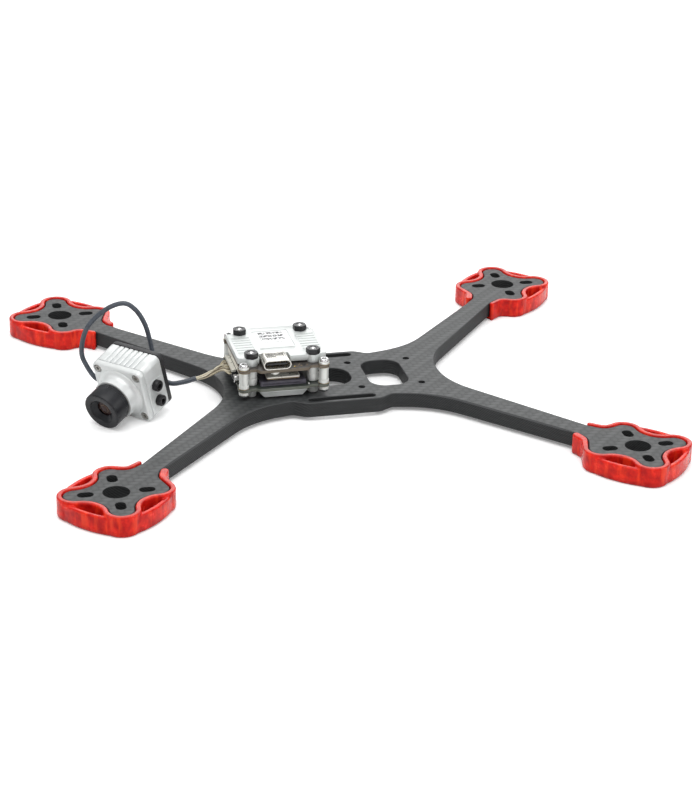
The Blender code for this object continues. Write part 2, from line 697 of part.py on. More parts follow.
def make_front_housing(axes):
    half = CAMERA_HALF
    levels = [(square(half, 1.8), -FRONT_PLATE), (square(half, 1.8), -0.6), (square(half - 0.6, 1.5), 0)]
    work = bmesh.new()
    add_prism(work, levels, [circle((0, 0), 6.0, 20), *screw_circles(0.95)])
    housing = node("camera_front_housing", finish_mesh("camera_front_housing", work), "camera_shell", axes)
    bore = 6.0
    boss = turned("lens_boss", [(bore, -1.0), (8.4, -1.0), (8.4, 0.4), (6.95, 1.7), (6.95, 4.2),
                                (bore, 4.2)], 20, closed=True)
    seat = turned("screw_seat", [(0, -0.9), (1.45, -0.9), (1.45, 1.0), (0, 1.0)], 8)
    offset = CAMERA_SCREW_OFFSET
    seats = []
    for index, (sx, sy) in enumerate(CORNERS):
        seats.append(tool(f"screw_seat_{index}", seat, axes, (sx * offset, sy * offset, 0)))
    combine(housing, [tool("lens_boss_tool", boss, axes)], "UNION")
    combine(housing, seats, "DIFFERENCE")


def octagon(half, cut):
    return [(half, -cut), (half, cut), (cut, half), (-cut, half), (-half, cut), (-half, -cut), (-cut, -half),
            (cut, -half)]


SIDE_SCREW_Z = -5.7
SIDE_SCREW_HEIGHTS = (1.7, -4.2)


def make_rear_housing(axes):
    """Box open at both ends, with cooling grooves on top and a hole for each side screw."""
    front = -FRONT_PLATE - LAYER_GAP
    shell = prism("camera_rear_housing", square(CAMERA_HALF, 1.8), BODY_BACK, front,
                  [octagon(8.2, 3.8), *screw_circles(0.95)])
    housing = node("camera_rear_housing", shell, "camera_shell", axes)
    pitch = 1.87
    spans = []
    for index in range(-3, 4):
        x = index * pitch
        spans.append((x - 0.35, x + 0.35, CAMERA_HALF - 0.45, CAMERA_HALF + 1, BODY_BACK - 1, front + 1))
    drill = turned("side_drill", [(0, -12), (1.0, -12), (1.0, 12), (0, 12)], 8)
    cutters = [tool("cooling_grooves", boxes("cooling_grooves", spans), axes)]
    for index, height in enumerate(SIDE_SCREW_HEIGHTS):
        cutters.append(tool(f"side_drill_{index}", drill, axes, (0, height, SIDE_SCREW_Z), (0, math.pi / 2, 0)))
    combine(housing, cutters, "DIFFERENCE")


CABLE_EXIT = (-4.6, -4.2)


def make_back_cover(axes):
    inset = square(CAMERA_HALF - 0.5, 1.5)
    full = square(CAMERA_HALF, 1.8)
    work = bmesh.new()
    levels = [(inset, COVER_BACK), (full, COVER_BACK + 0.5), (full, BODY_BACK - LAYER_GAP)]
    add_prism(work, levels, [circle(CABLE_EXIT, 1.05, 16)])
    node("camera_back_cover", finish_mesh("camera_back_cover", work), "black_plastic", axes)


def make_lens(axes):
    """Focus ring with its threaded barrel, and the front glass that it carries."""
    ring = turned("lens_ring", [
        (3.0, -3.6), (5.75, -3.6), (5.75, 4.6), (LENS_RADIUS, 4.6), (LENS_RADIUS, LENS_FRONT - 0.4),
        (LENS_RADIUS - 0.4, LENS_FRONT), (4.2, LENS_FRONT), (3.75, 8.9), (3.75, 8.0), (3.0, 8.0)],
        24, closed=True)
    node("lens_ring", ring, "lens_black", axes)
    glass = turned("lens_glass", [
        (0, 8.1), (3.6, 8.1), (3.6, 8.5), (3.1, 8.95), (2.2, 9.4), (1.1, 9.65), (0, 9.72)], 18)
    node("lens_glass", glass, "lens_glass", axes)


def make_camera_inside(axes):
    board = prism("image_sensor_board", octagon(7.9, 3.5), -8.6, -7.8)
    sensor = tool("sensor_chip", prism("sensor_chip", box_outline(3.6, 3.0, 0.2), -7.9, -6.9), axes)
    combine(node("image_sensor_board", board, "board", axes), [sensor], "UNION")


def make_camera_screws(axes):
    front_screw = turned("front_screw", [
        (0, -7.0), (0.75, -7.0), (0.75, -0.8), (1.3, -0.8), (1.3, -0.15), (0.7, -0.15), (0.7, -0.5), (0, -0.5)],
        8)
    offset = CAMERA_SCREW_OFFSET
    names = ("lower_left", "upper_left", "upper_right", "lower_right")
    for (sx, sy), corner in zip(CORNERS, names):
        node("camera_front_screw_" + corner, front_screw, "black_steel", axes, (sx * offset, sy * offset, 0))
    start = CAMERA_HALF + LAYER_GAP
    side_screw = turned("side_screw", [
        (0, CAMERA_HALF - 1.9), (0.8, CAMERA_HALF - 1.9), (0.8, start), (1.85, start), (1.85, start + 1.7),
        (1.65, start + 1.9), (0.95, start + 1.9), (0.95, start + 0.9), (0, start + 0.9)], 10)
    for side, way in (("left", 1), ("right", -1)):
        for height, level in zip(SIDE_SCREW_HEIGHTS, ("upper", "lower")):
            node(f"camera_side_screw_{side}_{level}", side_screw, "black_steel", axes,
                 (0, height, SIDE_SCREW_Z), (0, way * math.pi / 2, 0))


# ---- cable ---------------------------------------------------------------------------
JACKET_RADIUS = 0.8
# Places that the cable passes after it leaves the camera, world millimetres.
CABLE_LOOP = [(-12.6, -64.0, 6.2), (-14.6, -69.0, 4.0), (-15.0, -74.2, 5.0), (-15.5, -77.6, 10.0),
              (-15.7, -79.0, 15.2), (-15.3, -77.0, 23.2), (-13.8, -71.2, 29.5), (-12.3, -65.6, 31.9),
              (-11.3, -61.9, 29.8), (-10.6, -59.1, 25.0), (-10.1, -57.6, 19.3), (-8.9, -56.6, 13.5),
              (-5.6, -55.2, 8.9), (-1.6, -52.6, 7.6), (-0.3, -48.4, 8.2), (0.2, -44.4, 9.4)]
COAX_TURN = (-1.4, STACK_Y - 17.6, LOWER_BOARD + BOARD_THICKNESS + 1.4)
COAX_END = (-1.4, STACK_Y - 15.6, LOWER_BOARD + BOARD_THICKNESS + 1.6)


def smooth_path(points, steps):
    """Catmull-Rom curve through the points."""
    spots = [Vector(point) for point in points]
    padded = [spots[0] * 2 - spots[1], *spots, spots[-1] * 2 - spots[-2]]
    path = []
    for index in range(1, len(padded) - 2):
        a, b, c, d = padded[index - 1:index + 3]
        for step in range(steps):
            t = step / steps
            path.append(0.5 * (2 * b + (c - a) * t + (2 * a - 5 * b + 4 * c - d) * t**2
                               + (3 * b - a - 3 * c + d) * t**3))
    path.append(spots[-1])
    return path


def swept(name, path, radii, sides):
    """A closed round bar along a path, with a (wide, high) radius at each point."""
    work = bmesh.new()
    rings = []
    side = Vector((1, 0, 0))
    for index, point in enumerate(path):
        before = path[max(index - 1, 0)]
        after = path[min(index + 1, len(path) - 1)]
        along = (after - before).normalized()
        side = (side - along * side.dot(along)).normalized()
        lift = along.cross(side)
        wide, high = radii[index]
        ring = []
        for turn in range(sides):
            angle = 2 * math.pi * turn / sides
            ring.append(work.verts.new(point + side * wide * math.cos(angle) + lift * high * math.sin(angle)))
        rings.append(ring)
    for lower, upper in zip(rings, rings[1:]):
        for index in range(sides):
            follower = (index + 1) % sides
            work.faces.new((lower[index], lower[follower], upper[follower], upper[index]))
    work.faces.new(list(reversed(rings[0])))
    work.faces.new(rings[-1])
    return finish_mesh(name, work)


def make_cable():
    """Jacketed camera cable, and the bare coax bundle that fans into the video unit."""
    place = camera_matrix()
    exit_points = [place @ (Vector((*CABLE_EXIT, z)) * MM) / MM for z in (COVER_BACK + 0.9, COVER_BACK - 3.2)]
    path = smooth_path([*exit_points, *CABLE_LOOP], 2)
    radii = [(JACKET_RADIUS, JACKET_RADIUS)] * len(path)
    node("camera_cable", swept("camera_cable", path, radii, 8), "cable")
    start = Vector(CABLE_LOOP[-1])
    away = (start - Vector(CABLE_LOOP[-2])).normalized()
    first = start + away * 0.3
    middle = (first + Vector(COAX_TURN)) / 2 + Vector((0.5, 0, 0.2))
    coax_path = smooth_path([first, middle, COAX_TURN, COAX_END], 4)
    last = len(coax_path) - 1
    fan = [(0.75 + 3.4 * (index / last) ** 1.6, 0.8 - 0.3 * index / last) for index in range(last + 1)]
    node("coax_wires", swept("coax_wires", coax_path, fan, 10), "coax")


def build():
    clear_scene()
    make_frame_plate()
    for name, sx, sy in (("front_left", 1, -1), ("front_right", -1, -1), ("rear_left", 1, 1),
                         ("rear_right", -1, 1)):
        make_guard("motor_guard_" + name, sx, sy)
    make_boards()
    make_stack_columns()
    make_top_heatsink()
    make_bottom_heatsink()
    make_board_parts()
    make_usb_port()
    axes = camera_empty()
    make_front_housing(axes)
    make_rear_housing(axes)
    make_back_cover(axes)
    make_lens(axes)
    make_camera_inside(axes)
    make_camera_screws(axes)
    make_cable()


build()
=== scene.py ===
"""Looks of the FPV drone kit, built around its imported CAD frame.

Lengths are millimetres until a mesh is made.
"""
import json
import math
import random

import bmesh
import bpy
from mathutils import Matrix, Vector
from mathutils.geometry import tessellate_polygon


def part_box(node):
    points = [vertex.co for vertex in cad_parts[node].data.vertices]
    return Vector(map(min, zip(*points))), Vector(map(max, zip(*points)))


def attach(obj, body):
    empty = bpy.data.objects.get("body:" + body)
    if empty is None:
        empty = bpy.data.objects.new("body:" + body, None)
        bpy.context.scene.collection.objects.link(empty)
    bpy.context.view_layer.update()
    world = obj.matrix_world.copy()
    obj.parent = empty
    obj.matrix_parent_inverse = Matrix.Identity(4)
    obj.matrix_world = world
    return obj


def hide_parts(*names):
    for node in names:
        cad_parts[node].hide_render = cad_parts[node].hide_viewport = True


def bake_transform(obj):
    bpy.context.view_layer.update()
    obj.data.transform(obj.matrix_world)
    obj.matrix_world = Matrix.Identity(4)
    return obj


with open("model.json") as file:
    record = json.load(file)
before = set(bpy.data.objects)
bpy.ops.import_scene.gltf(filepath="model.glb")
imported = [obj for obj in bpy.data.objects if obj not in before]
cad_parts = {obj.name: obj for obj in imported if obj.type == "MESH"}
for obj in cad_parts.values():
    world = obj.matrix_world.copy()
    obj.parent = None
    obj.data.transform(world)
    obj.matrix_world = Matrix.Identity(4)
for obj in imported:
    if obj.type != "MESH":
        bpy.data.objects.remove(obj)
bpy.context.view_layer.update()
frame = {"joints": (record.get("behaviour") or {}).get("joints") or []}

MM = 0.001
CORNER_NAMES = ("front_left", "rear_left", "rear_right", "front_right")
CORNERS = ((1, -1), (1, 1), (-1, 1), (-1, -1))
joints = {joint["name"]: joint for joint in frame["joints"]}


def cad(name):
    """A CAD node's lowest and highest corner, in millimetres."""
    low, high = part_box(name)
    return Vector(low) / MM, Vector(high) / MM


PLATE_LOW = cad("frame_plate")[0].z
PLATE_TOP = cad("frame_plate")[1].z
GUARD_TOP = cad("motor_guard_rear_left")[1].z
LOWER_LOW, LOWER_TOP = [corner.z for corner in cad("video_lower_board")]
UPPER_LOW, UPPER_TOP = [corner.z for corner in cad("video_upper_board")]
SINK_TOP = cad("video_top_heatsink")[1].z
SINK_LOW = SINK_TOP - 1.9
POSTS = [(low + high) / 2 for low, high in (cad("corner_post_" + name) for name in CORNER_NAMES)]
INNERS = [(low + high) / 2 for low, high in (cad("inner_spacer_" + name) for name in CORNER_NAMES)]
STACK = sum(POSTS, Vector()) / 4

MOTOR = Vector((69.8, 80.0))
LOBE_DISTANCE = 11.87
LOBE_RADIUS = 3.6
VALLEY_RADIUS = LOBE_DISTANCE - LOBE_RADIUS
BUMPER_REACH = 15.0
BUMPER_RADIUS = 30.0
BORE_RADIUS = 4.0
SLOT_DISTANCE = 9.0
SLOT_LENGTH = 4.8
SLOT_WIDTH = 3.1
HOLE_RADIUS = 1.1
HALF_PITCH = 10
REAR_PATTERN_Y = 17.9


# ---- outlines ------------------------------------------------------------------------
def arc(centre, radius, start, end, steps):
    points = []
    for step in range(steps + 1):
        angle = math.radians(start + (end - start) * step / steps)
        points.append((centre[0] + radius * math.cos(angle), centre[1] + radius * math.sin(angle)))
    return points


def circle(centre, radius, steps):
    return arc(centre, radius, 0, 360 * (steps - 1) / steps, steps - 1)


def rounded(corners, closed=True, arc_step=9.0):
    """Polygon corners (x, y, fillet radius) joined by lines and fillet arcs."""
    points = []
    count = len(corners)
    for index, (x, y, radius) in enumerate(corners):
        if radius == 0 or (not closed and index in (0, count - 1)):
            points.append((x, y))
            continue
        here = Vector((x, y))
        before = (Vector(corners[index - 1][:2]) - here).normalized()
        after = (Vector(corners[(index + 1) % count][:2]) - here).normalized()
        half_angle = before.angle(after) / 2
        centre = here + (before + after).normalized() * (radius / math.sin(half_angle))
        first = here + before * (radius / math.tan(half_angle)) - centre
        turn = before.angle_signed(-after)
        steps = max(2, round(abs(math.degrees(turn)) / arc_step))
        for step in range(steps + 1):
            points.append(tuple(centre + Matrix.Rotation(-turn * step / steps, 2) @ first))
    return points


def box_outline(half_x, half_y, corner, centre=(0, 0), arc_step=15):
    cx, cy = centre
    corners = [(cx + sx * half_x, cy + sy * half_y, corner) for sx,
               sy in ((1, -1), (1, 1), (-1, 1), (-1, -1))]
    return rounded(corners, arc_step=arc_step)


def slot_outline(centre, length, width, along_x, steps=14):
    radius = width / 2
    reach = length / 2 - radius
    if along_x:
        ends = arc((centre[0] + reach, centre[1]), radius, -90, 90, steps)
        return ends + arc((centre[0] - reach, centre[1]), radius, 90, 270, steps)
    ends = arc((centre[0], centre[1] + reach), radius, 0, 180, steps)
    return ends + arc((centre[0], centre[1] - reach), radius, 180, 360, steps)


def moved_aside(points, distances, closed=False):
    """A path moved to its right-hand side (outwards for a counterclockwise loop)."""
    if not isinstance(distances, list):
        distances = [distances] * len(points)
    moved = []
    last = len(points) - 1
    for index, point in enumerate(points):
        here = Vector(point)
        before = Vector(points[index - 1 if closed else max(index - 1, 0)])
        after = Vector(points[(index + 1) % len(points) if closed else min(index + 1, last)])
        into = (here - before).normalized() if closed or index > 0 else (after - here).normalized()
        out = (after - here).normalized() if closed or index < last else into
        normal = Vector((into.y + out.y, -into.x - out.x)).normalized()
        stretch = 1 / max(0.7, normal.dot(Vector((into.y, -into.x))))
        moved.append(tuple(here + normal * distances[index] * stretch))
    return moved


# ---- meshes --------------------------------------------------------------------------
def finish_mesh(name, work, sharp_degrees=35):
    bmesh.ops.remove_doubles(work, verts=work.verts, dist=1e-4)
    bmesh.ops.recalc_face_normals(work, faces=work.faces)
    bmesh.ops.scale(work, vec=(MM, MM, MM), verts=work.verts)
    mesh = bpy.data.meshes.new(name)
    work.to_mesh(mesh)
    work.free()
    mesh.shade_smooth()
    mesh.set_sharp_from_angle(angle=math.radians(sharp_degrees))
    return mesh


def bridge(work, rings, loop=False):
    """Faces between rings of vertices; a ring of one vertex closes to a point."""
    pairs = list(zip(rings, rings[1:]))
    if loop:
        pairs.append((rings[-1], rings[0]))
    for lower, upper in pairs:
        count = max(len(lower), len(upper))
        for index in range(count):
            follower = (index + 1) % count
            corners = []
            for corner in (lower[index % len(lower)], lower[follower % len(lower)],
                           upper[follower % len(upper)], upper[index % len(upper)]):
                if corner not in corners:
                    corners.append(corner)
            if len(corners) > 2:
                work.faces.new(corners)


def add_slab(work, outer_levels, hole_levels=()):
    """A flat body from loops [(points, z), ...], low to high, for its edge and for each hole."""
    stacks = []
    for levels in (outer_levels, *hole_levels):
        rings = []
        for points, z in levels:
            heights = z if isinstance(z, list) else [z] * len(points)
            rings.append([work.verts.new((x, y, height)) for (x, y), height in zip(points, heights)])
        bridge(work, rings)
        stacks.append(rings)
    for end in (0, -1):
        corners = [corner for rings in stacks for corner in rings[end]]
        flat = [[Vector((corner.co.x, corner.co.y, 0)) for corner in rings[end]] for rings in stacks]
        for triangle in tessellate_polygon(flat):
            work.faces.new([corners[index] for index in triangle])


def edge_levels(loop, low, high, bevel, sign=-1, top=None):
    """Loops of an edge with a small chamfer at both ends; sign -1 for an outer edge, 1 for a hole."""
    top = bevel if top is None else top
    tops = top if isinstance(top, list) else [top] * len(loop)
    return [(moved_aside(loop, sign * bevel, True), low), (loop, low + bevel),
            (loop, [high - size for size in tops]), (moved_aside(loop, [sign * size for size in tops], True),
                                                     high)]


def slab(name, outer, low, high, bevel=0.12, holes=(), hole_bevel=None, top=None):
    work = bmesh.new()
    hole_bevel = bevel if hole_bevel is None else hole_bevel
    add_slab(work, edge_levels(outer, low, high, bevel, -1, top),
             [edge_levels(hole, low, high, hole_bevel, 1) for hole in holes])
    return finish_mesh(name, work)


def turned(name, profile, steps=48, loop=False, sharp_degrees=35, phase=0.0):
    """A body turned about Z from (radius, z) points."""
    work = bmesh.new()
    add_turned(work, profile, steps, loop, phase)
    return finish_mesh(name, work, sharp_degrees)


def add_turned(work, profile, steps=48, loop=False, phase=0.0, place=(0, 0, 0)):
    rings = []
    for radius, z in profile:
        if radius == 0:
            rings.append([work.verts.new((place[0], place[1], place[2] + z))])
            continue
        turn = [math.radians(phase) + 2 * math.pi * step / steps for step in range(steps)]
        rings.append([work.verts.new((place[0] + radius * math.cos(a), place[1] + radius * math.sin(a),
                                      place[2] + z))
                      for a in turn])
    bridge(work, rings, loop)


def smooth_path(points, steps):
    """Catmull-Rom curve through the points."""
    spots = [Vector(point) for point in points]
    padded = [spots[0] * 2 - spots[1], *spots, spots[-1] * 2 - spots[-2]]
    path = []
    for index in range(1, len(padded) - 2):
        a, b, c, d = padded[index - 1:index + 3]
        for step in range(steps):
            t = step / steps
            path.append(0.5 * (2 * b + (c - a) * t + (2 * a - 5 * b + 4 * c - d) * t**2
                               + (3 * b - a - 3 * c + d) * t**3))
    path.append(spots[-1])
    return path


def add_tube(work, path, radius, sides=16):
    """A round bar along a path; radius is a number or a function of the share of the path."""
    rings = []
    side = Vector((1, 0, 0))
    last = len(path) - 1
    for index, point in enumerate(path):
        along = (path[min(index + 1, last)] - path[max(index - 1, 0)]).normalized()
        side = (side - along * side.dot(along)).normalized()
        lift = along.cross(side)
        size = radius(index / last) if callable(radius) else radius
        turns = [2 * math.pi * turn / sides for turn in range(sides)]
        rings.append([work.verts.new(point + (side * math.cos(a) + lift * math.sin(a)) * size) for a in turns])
    bridge(work, [[work.verts.new(path[0])], *rings, [work.verts.new(path[-1])]])


def modified(name, mesh, steps):
    """The mesh after modifiers (type, {setting: value})."""
    item = bpy.data.objects.new(name + "_work", mesh)
    bpy.context.scene.collection.objects.link(item)
    for kind, settings in steps:
        modifier = item.modifiers.new(kind, kind)
        for key, value in settings.items():
            setattr(modifier, key, value)
    bpy.context.view_layer.update()
    made = bpy.data.meshes.new_from_object(item.evaluated_get(bpy.context.evaluated_depsgraph_get()))
    made.name = name
    bpy.data.objects.remove(item)
    return made


def boolean(name, mesh, tools, operation):
    """The mesh joined with or cut by the tool meshes, one after another."""
    helpers = []
    steps = []
    for index, other in enumerate(tools):
        helper = bpy.data.objects.new(f"{name}_tool_{index}", other)
        bpy.context.scene.collection.objects.link(helper)
        helpers.append(helper)
        steps.append(("BOOLEAN", {"operation": operation, "solver": "EXACT", "object": helper}))
    made = modified(name, mesh, steps)
    for helper in helpers:
        bpy.data.objects.remove(helper)
    return made


def bevelled(name, mesh, width=0.12, segments=2, degrees=38):
    made = modified(name, mesh, [("BEVEL", {"width": width * MM, "segments": segments,
                                            "limit_method": "ANGLE",
                                            "angle_limit": math.radians(degrees), "harden_normals": False,
                                            "miter_outer": "MITER_ARC"})])
    made.shade_smooth()
    made.set_sharp_from_angle(angle=math.radians(38))
    return made


def boxes(name, spans):
    work = bmesh.new()
    for x0, x1, y0, y1, z0, z1 in spans:
        outline = [(x0, y0), (x1, y0), (x1, y1), (x0, y1)]
        add_slab(work, [(outline, z0), (outline, z1)])
    return finish_mesh(name, work)


def cut_boxes(name, mesh, spans):
    """The mesh with box-shaped pockets cut out of it."""
    return boolean(name, mesh, [boxes(name + "_tools", spans)], "DIFFERENCE")


def piece(name, mesh, look, body, nodes=(), place=None):
    """Put a mesh on a CAD body as a visible piece that stands for the CAD nodes; look is a key of LOOKS."""
    item = bpy.data.objects.new(name, mesh)
    bpy.context.scene.collection.objects.link(item)
    if not mesh.materials:
        mesh.materials.append(LOOKS[look])
    if place is not None:
        item.matrix_world = place
    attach(item, body)
    if nodes:
        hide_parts(*nodes)
    return item


def at(x, y, z=0.0):
    return Matrix.Translation(Vector((x, y, z)) * MM)


# ---- materials -----------------------------------------------------------------------
class Look:
    """A Principled material and short calls to wire its nodes."""

    def __init__(self, name, colour, roughness, metallic=0.0, **more):
        self.material = bpy.data.materials.new(name)
        self.material.use_nodes = True
        self.tree = self.material.node_tree
        self.shader = self.tree.nodes["Principled BSDF"]
        self.set("Base Color", (*colour, 1.0))
        self.set("Roughness", roughness)
        self.set("Metallic", metallic)
        for key, value in more.items():
            self.set(key.replace("_", " "), value)
        self.material.diffuse_color = (*colour, 1.0)

    def put(self, socket, value):
        if isinstance(value, bpy.types.NodeSocket):
            self.tree.links.new(value, socket)
        else:
            socket.default_value = value

    def set(self, name, value):
        self.put(self.shader.inputs[name], value)

    def add(self, kind, inputs, output=0, **settings):
        made = self.tree.nodes.new("ShaderNode" + kind)
        for key, value in settings.items():
            setattr(made, key, value)
        for key, value in inputs.items():
            self.put(made.inputs[key], value)
        return made.outputs[output]

    def mm(self):
        """Coordinates of the piece in millimetres."""
        source = self.add("TexCoord", {}, "Object")
        return self.add("VectorMath", {0: source, "Scale": 1000.0}, operation="SCALE")

    def split(self, vector):
        made = self.tree.nodes.new("ShaderNodeSeparateXYZ")
        self.put(made.inputs[0], vector)
        return made.outputs

    def normal(self):
        return self.split(self.add("TexCoord", {}, "Normal"))

    def math(self, operation, first, second=0.0, clamp=False):
        return self.add("Math", {0: first, 1: second}, operation=operation, use_clamp=clamp)

    def plus(self, first, second):
        return self.math("ADD", first, second)

    def times(self, first, second):
        return self.math("MULTIPLY", first, second)

    def noise(self, scale, detail=3.0, roughness=0.55, vector=None):
        return self.add("TexNoise", {"Vector": vector or self.mm(), "Scale": scale, "Detail": detail,
                                     "Roughness": roughness})

    def stretched(self, x, y, z):
        return self.add("VectorMath", {0: self.mm(), 1: (x, y, z)}, operation="MULTIPLY")

    def range(self, value, low, high, to_low=0.0, to_high=1.0):
        return self.add("MapRange", {"Value": value, "From Min": low, "From Max": high, "To Min": to_low,
                                     "To Max": to_high}, clamp=True)

    def mix(self, share, first, second):
        first = (*first, 1.0) if isinstance(first, tuple) else first
        second = (*second, 1.0) if isinstance(second, tuple) else second
        return self.add("Mix", {0: share, 6: first, 7: second}, 2, data_type="RGBA")

    def bump(self, height, distance, strength=1.0, base=None):
        inputs = {"Height": height, "Distance": distance * MM, "Strength": strength}
        if base is not None:
            inputs["Normal"] = base
        normal = self.add("Bump", inputs)
        self.set("Normal", normal)
        return normal


def carbon_look():
    """Twill weave on the flat faces, its sheen painted into the base colour as lighter and darker tows; milled
    fibre ends on the walls.
    """
    look = Look("carbon_weave", (0.06, 0.065, 0.07), 0.42, 0.0, Specular_IOR_Level=0.5)
    x, y, z = look.split(look.mm())
    tow = 1.8
    across = look.math("DIVIDE", look.plus(x, 200.3), tow)
    along = look.math("DIVIDE", look.plus(y, 200.1), tow)
    column = look.math("FLOOR", across)
    row = look.math("FLOOR", along)
    step = look.math("MODULO", look.plus(column, row), 4.0)
    warp = look.math("LESS_THAN", step, 1.5)
    crown_x = look.math("SINE", look.times(look.math("FRACT", across), math.pi))
    crown_y = look.math("SINE", look.times(look.math("FRACT", along), math.pi))
    crown = look.add("Mix", {0: warp, 2: crown_y, 3: crown_x}, 0, data_type="FLOAT")
    float_y = look.math("MODULO", look.plus(along, column), 4.0)
    float_x = look.math("SUBTRACT", look.math("MODULO", look.plus(across, row), 4.0), 2.0)
    run = look.add("Mix", {0: warp, 2: float_x, 3: float_y}, 0, data_type="FLOAT")
    swell = look.math("ABSOLUTE", look.math("SINE", look.times(run, math.pi / 2)))
    fibres_x = look.noise(1.0, 2.0, 0.6, look.stretched(9.0, 0.35, 1.0))
    fibres_y = look.noise(1.0, 2.0, 0.6, look.stretched(0.35, 9.0, 1.0))
    fibre = look.add("Mix", {0: warp, 2: fibres_y, 3: fibres_x}, 0, data_type="FLOAT")
    patches = look.noise(0.16, 2.0, 0.5)
    # painted sheen: lighter tow crowns and lighter warp tows in the base colour stand in for the weave's
    # reflection
    blob = look.times(look.plus(look.times(crown, 0.4), 0.6),
                     look.plus(look.times(swell, 0.7), 0.3))
    light = look.times(look.plus(look.times(warp, 0.35), 0.65), blob)
    light = look.times(light, look.range(fibre, 0.3, 0.7, 0.88, 1.10))
    light = look.times(light, look.range(patches, 0.3, 0.7, 0.90, 1.10))
    weave_and_painted_sheen = look.mix(look.range(light, 0.0, 0.9), (0.026, 0.028, 0.0285), (0.052, 0.055, 0.056))
    slope = look.math("ABSOLUTE", look.normal()[2])
    flat = look.range(slope, 0.80, 0.95)
    along_arm = look.plus(look.times(look.math("ABSOLUTE", x), 5.3),
                          look.times(look.math("ABSOLUTE", y), 5.8))
    marks = look.math("SINE", look.math("SUBTRACT", along_arm, look.times(z, 7.1)))
    plies = look.noise(1.0, 2.0, 0.6, look.stretched(0.12, 0.12, 5.0))
    grit = look.noise(5.0, 3.0, 0.6)
    wall_shade = look.plus(look.range(marks, -1.0, 1.0, 0.0, 0.45), look.range(plies, 0.3, 0.7, 0.0, 0.35))
    wall_shade = look.plus(wall_shade, look.range(grit, 0.3, 0.7, 0.0, 0.20))
    walls = look.mix(wall_shade, (0.008, 0.0085, 0.009), (0.044, 0.046, 0.047))
    cut_edge = look.times(look.range(slope, 0.35, 0.5), look.range(slope, 0.92, 0.8))
    walls = look.mix(cut_edge, walls, (0.055, 0.056, 0.058))
    look.set("Base Color", look.mix(flat, walls, weave_and_painted_sheen))
    sheen = look.range(light, 0.0, 0.9, 0.15, 0.25)
    look.set("Specular IOR Level", look.add("Mix", {0: flat, 2: 0.22, 3: sheen}, 0, data_type="FLOAT"))
    look.set("Roughness", look.range(look.plus(flat, look.range(patches, 0.3, 0.7, -0.1, 0.1)), 0.0, 1.0,
                                     0.58,
                                     0.40))
    height = look.times(look.plus(crown, look.times(fibre, 0.25)), flat)
    wall_height = look.times(look.plus(marks, plies), look.math("SUBTRACT", 1.0, flat))
    height = look.plus(height, look.times(wall_height, 0.5))
    look.bump(height, 0.035, 0.5)
    return look.material


def guard_look():
    """Flexible translucent red print: fine layers, paler rims, small blemishes, painted highlight streaks and
    painted shade towards the bottom.
    """
    look = Look("guard_red_print", (0.80, 0.016, 0.010), 0.3, 0.0, Subsurface_Weight=0.25,
                Subsurface_Radius=(1.0, 0.10, 0.06), Subsurface_Scale=0.8 * MM, Specular_IOR_Level=0.24,
                Specular_Tint=(1.0, 0.42, 0.36, 1.0), Coat_Weight=0.10, Coat_Roughness=0.08)
    z = look.split(look.mm())[2]
    up = look.normal()[2]
    blotch = look.noise(0.35, 3.0, 0.55)
    # painted highlight: vertical pale streaks in the base colour stand in for glossy highlights on the rounded
    # walls
    painted_highlight_streaks = look.noise(1.0, 2.0, 0.5, look.stretched(0.5, 0.5, 0.10))
    deep = look.mix(look.range(blotch, 0.35, 0.65), (0.40, 0.006, 0.007), (0.72, 0.020, 0.011))
    with_painted_highlights = look.mix(look.range(painted_highlight_streaks, 0.50, 0.66, 0.0, 0.6), deep, (0.86, 0.055, 0.016))
    rim = look.times(look.range(up, 0.45, 0.95), look.range(z, GUARD_TOP - 0.8, GUARD_TOP - 0.2))
    rim_share = look.times(rim, look.range(look.noise(1.4, 2.0), 0.3, 0.62, 0.2, 0.6))
    coloured = look.mix(rim_share, with_painted_highlights, (0.42, 0.060, 0.050))
    specks = look.range(look.noise(3.2, 2.0, 0.5), 0.72, 0.78, 0.0, 0.7)
    coloured = look.mix(look.times(specks, look.range(up, 0.1, 0.8)), coloured, (0.80, 0.35, 0.28))
    # painted shade: base colour darkened over the bottom 2.2 mm, where the guard stands in shade by the floor
    low = look.range(z, 0.0, 2.2, 0.6, 0.0)
    look.set("Base Color", look.mix(low, coloured, (0.26, 0.004, 0.006)))
    look.set("Roughness", look.range(blotch, 0.3, 0.7, 0.16, 0.30))
    layers = look.math("SINE", look.times(z, 2 * math.pi / 0.28))
    wobble = look.noise(0.8, 3.0, 0.6)
    height = look.plus(look.times(layers, 0.35), look.times(wobble, 1.2))
    look.bump(height, 0.035, 0.5)
    return look.material


def metal_look(name, colour, roughness=0.36, metallic=0.75, grain=6.0, depth=0.01, spread=0.06, **more):
    """Blasted or turned metal with fine grain and faint handling marks."""
    look = Look(name, colour, roughness, metallic, **more)
    fine = look.noise(grain, 3.0, 0.6)
    broad = look.noise(0.45, 3.0, 0.55)
    shade = look.plus(look.range(fine, 0.3, 0.7, 0.0, 0.4), look.range(broad, 0.3, 0.7, 0.0, 0.6))
    darker = tuple(channel * (1 - 2.2 * spread) for channel in colour)
    lighter = tuple(min(1.0, channel * (1 + spread)) for channel in colour)
    look.set("Base Color", look.mix(shade, darker, lighter))
    look.set("Roughness", look.range(broad, 0.3, 0.7, roughness - 0.06, roughness + 0.08))
    look.bump(fine, depth, 0.6)
    return look.material


def plastic_look(name, colour, roughness=0.5, grain=5.0, depth=0.01, **more):
    look = Look(name, colour, roughness, 0.0, **more)
    fine = look.noise(grain, 3.0, 0.6)
    broad = look.noise(0.6, 2.0, 0.5)
    lighter = tuple(channel * 1.35 + 0.002 for channel in colour)
    darker = tuple(channel * 0.8 for channel in colour)
    look.set("Base Color", look.mix(look.range(look.times(fine, broad), 0.12, 0.42), darker, lighter))
    look.set("Roughness", look.range(broad, 0.3, 0.7, roughness - 0.07, roughness + 0.07))
    look.bump(fine, depth, 0.6)
    return look.material


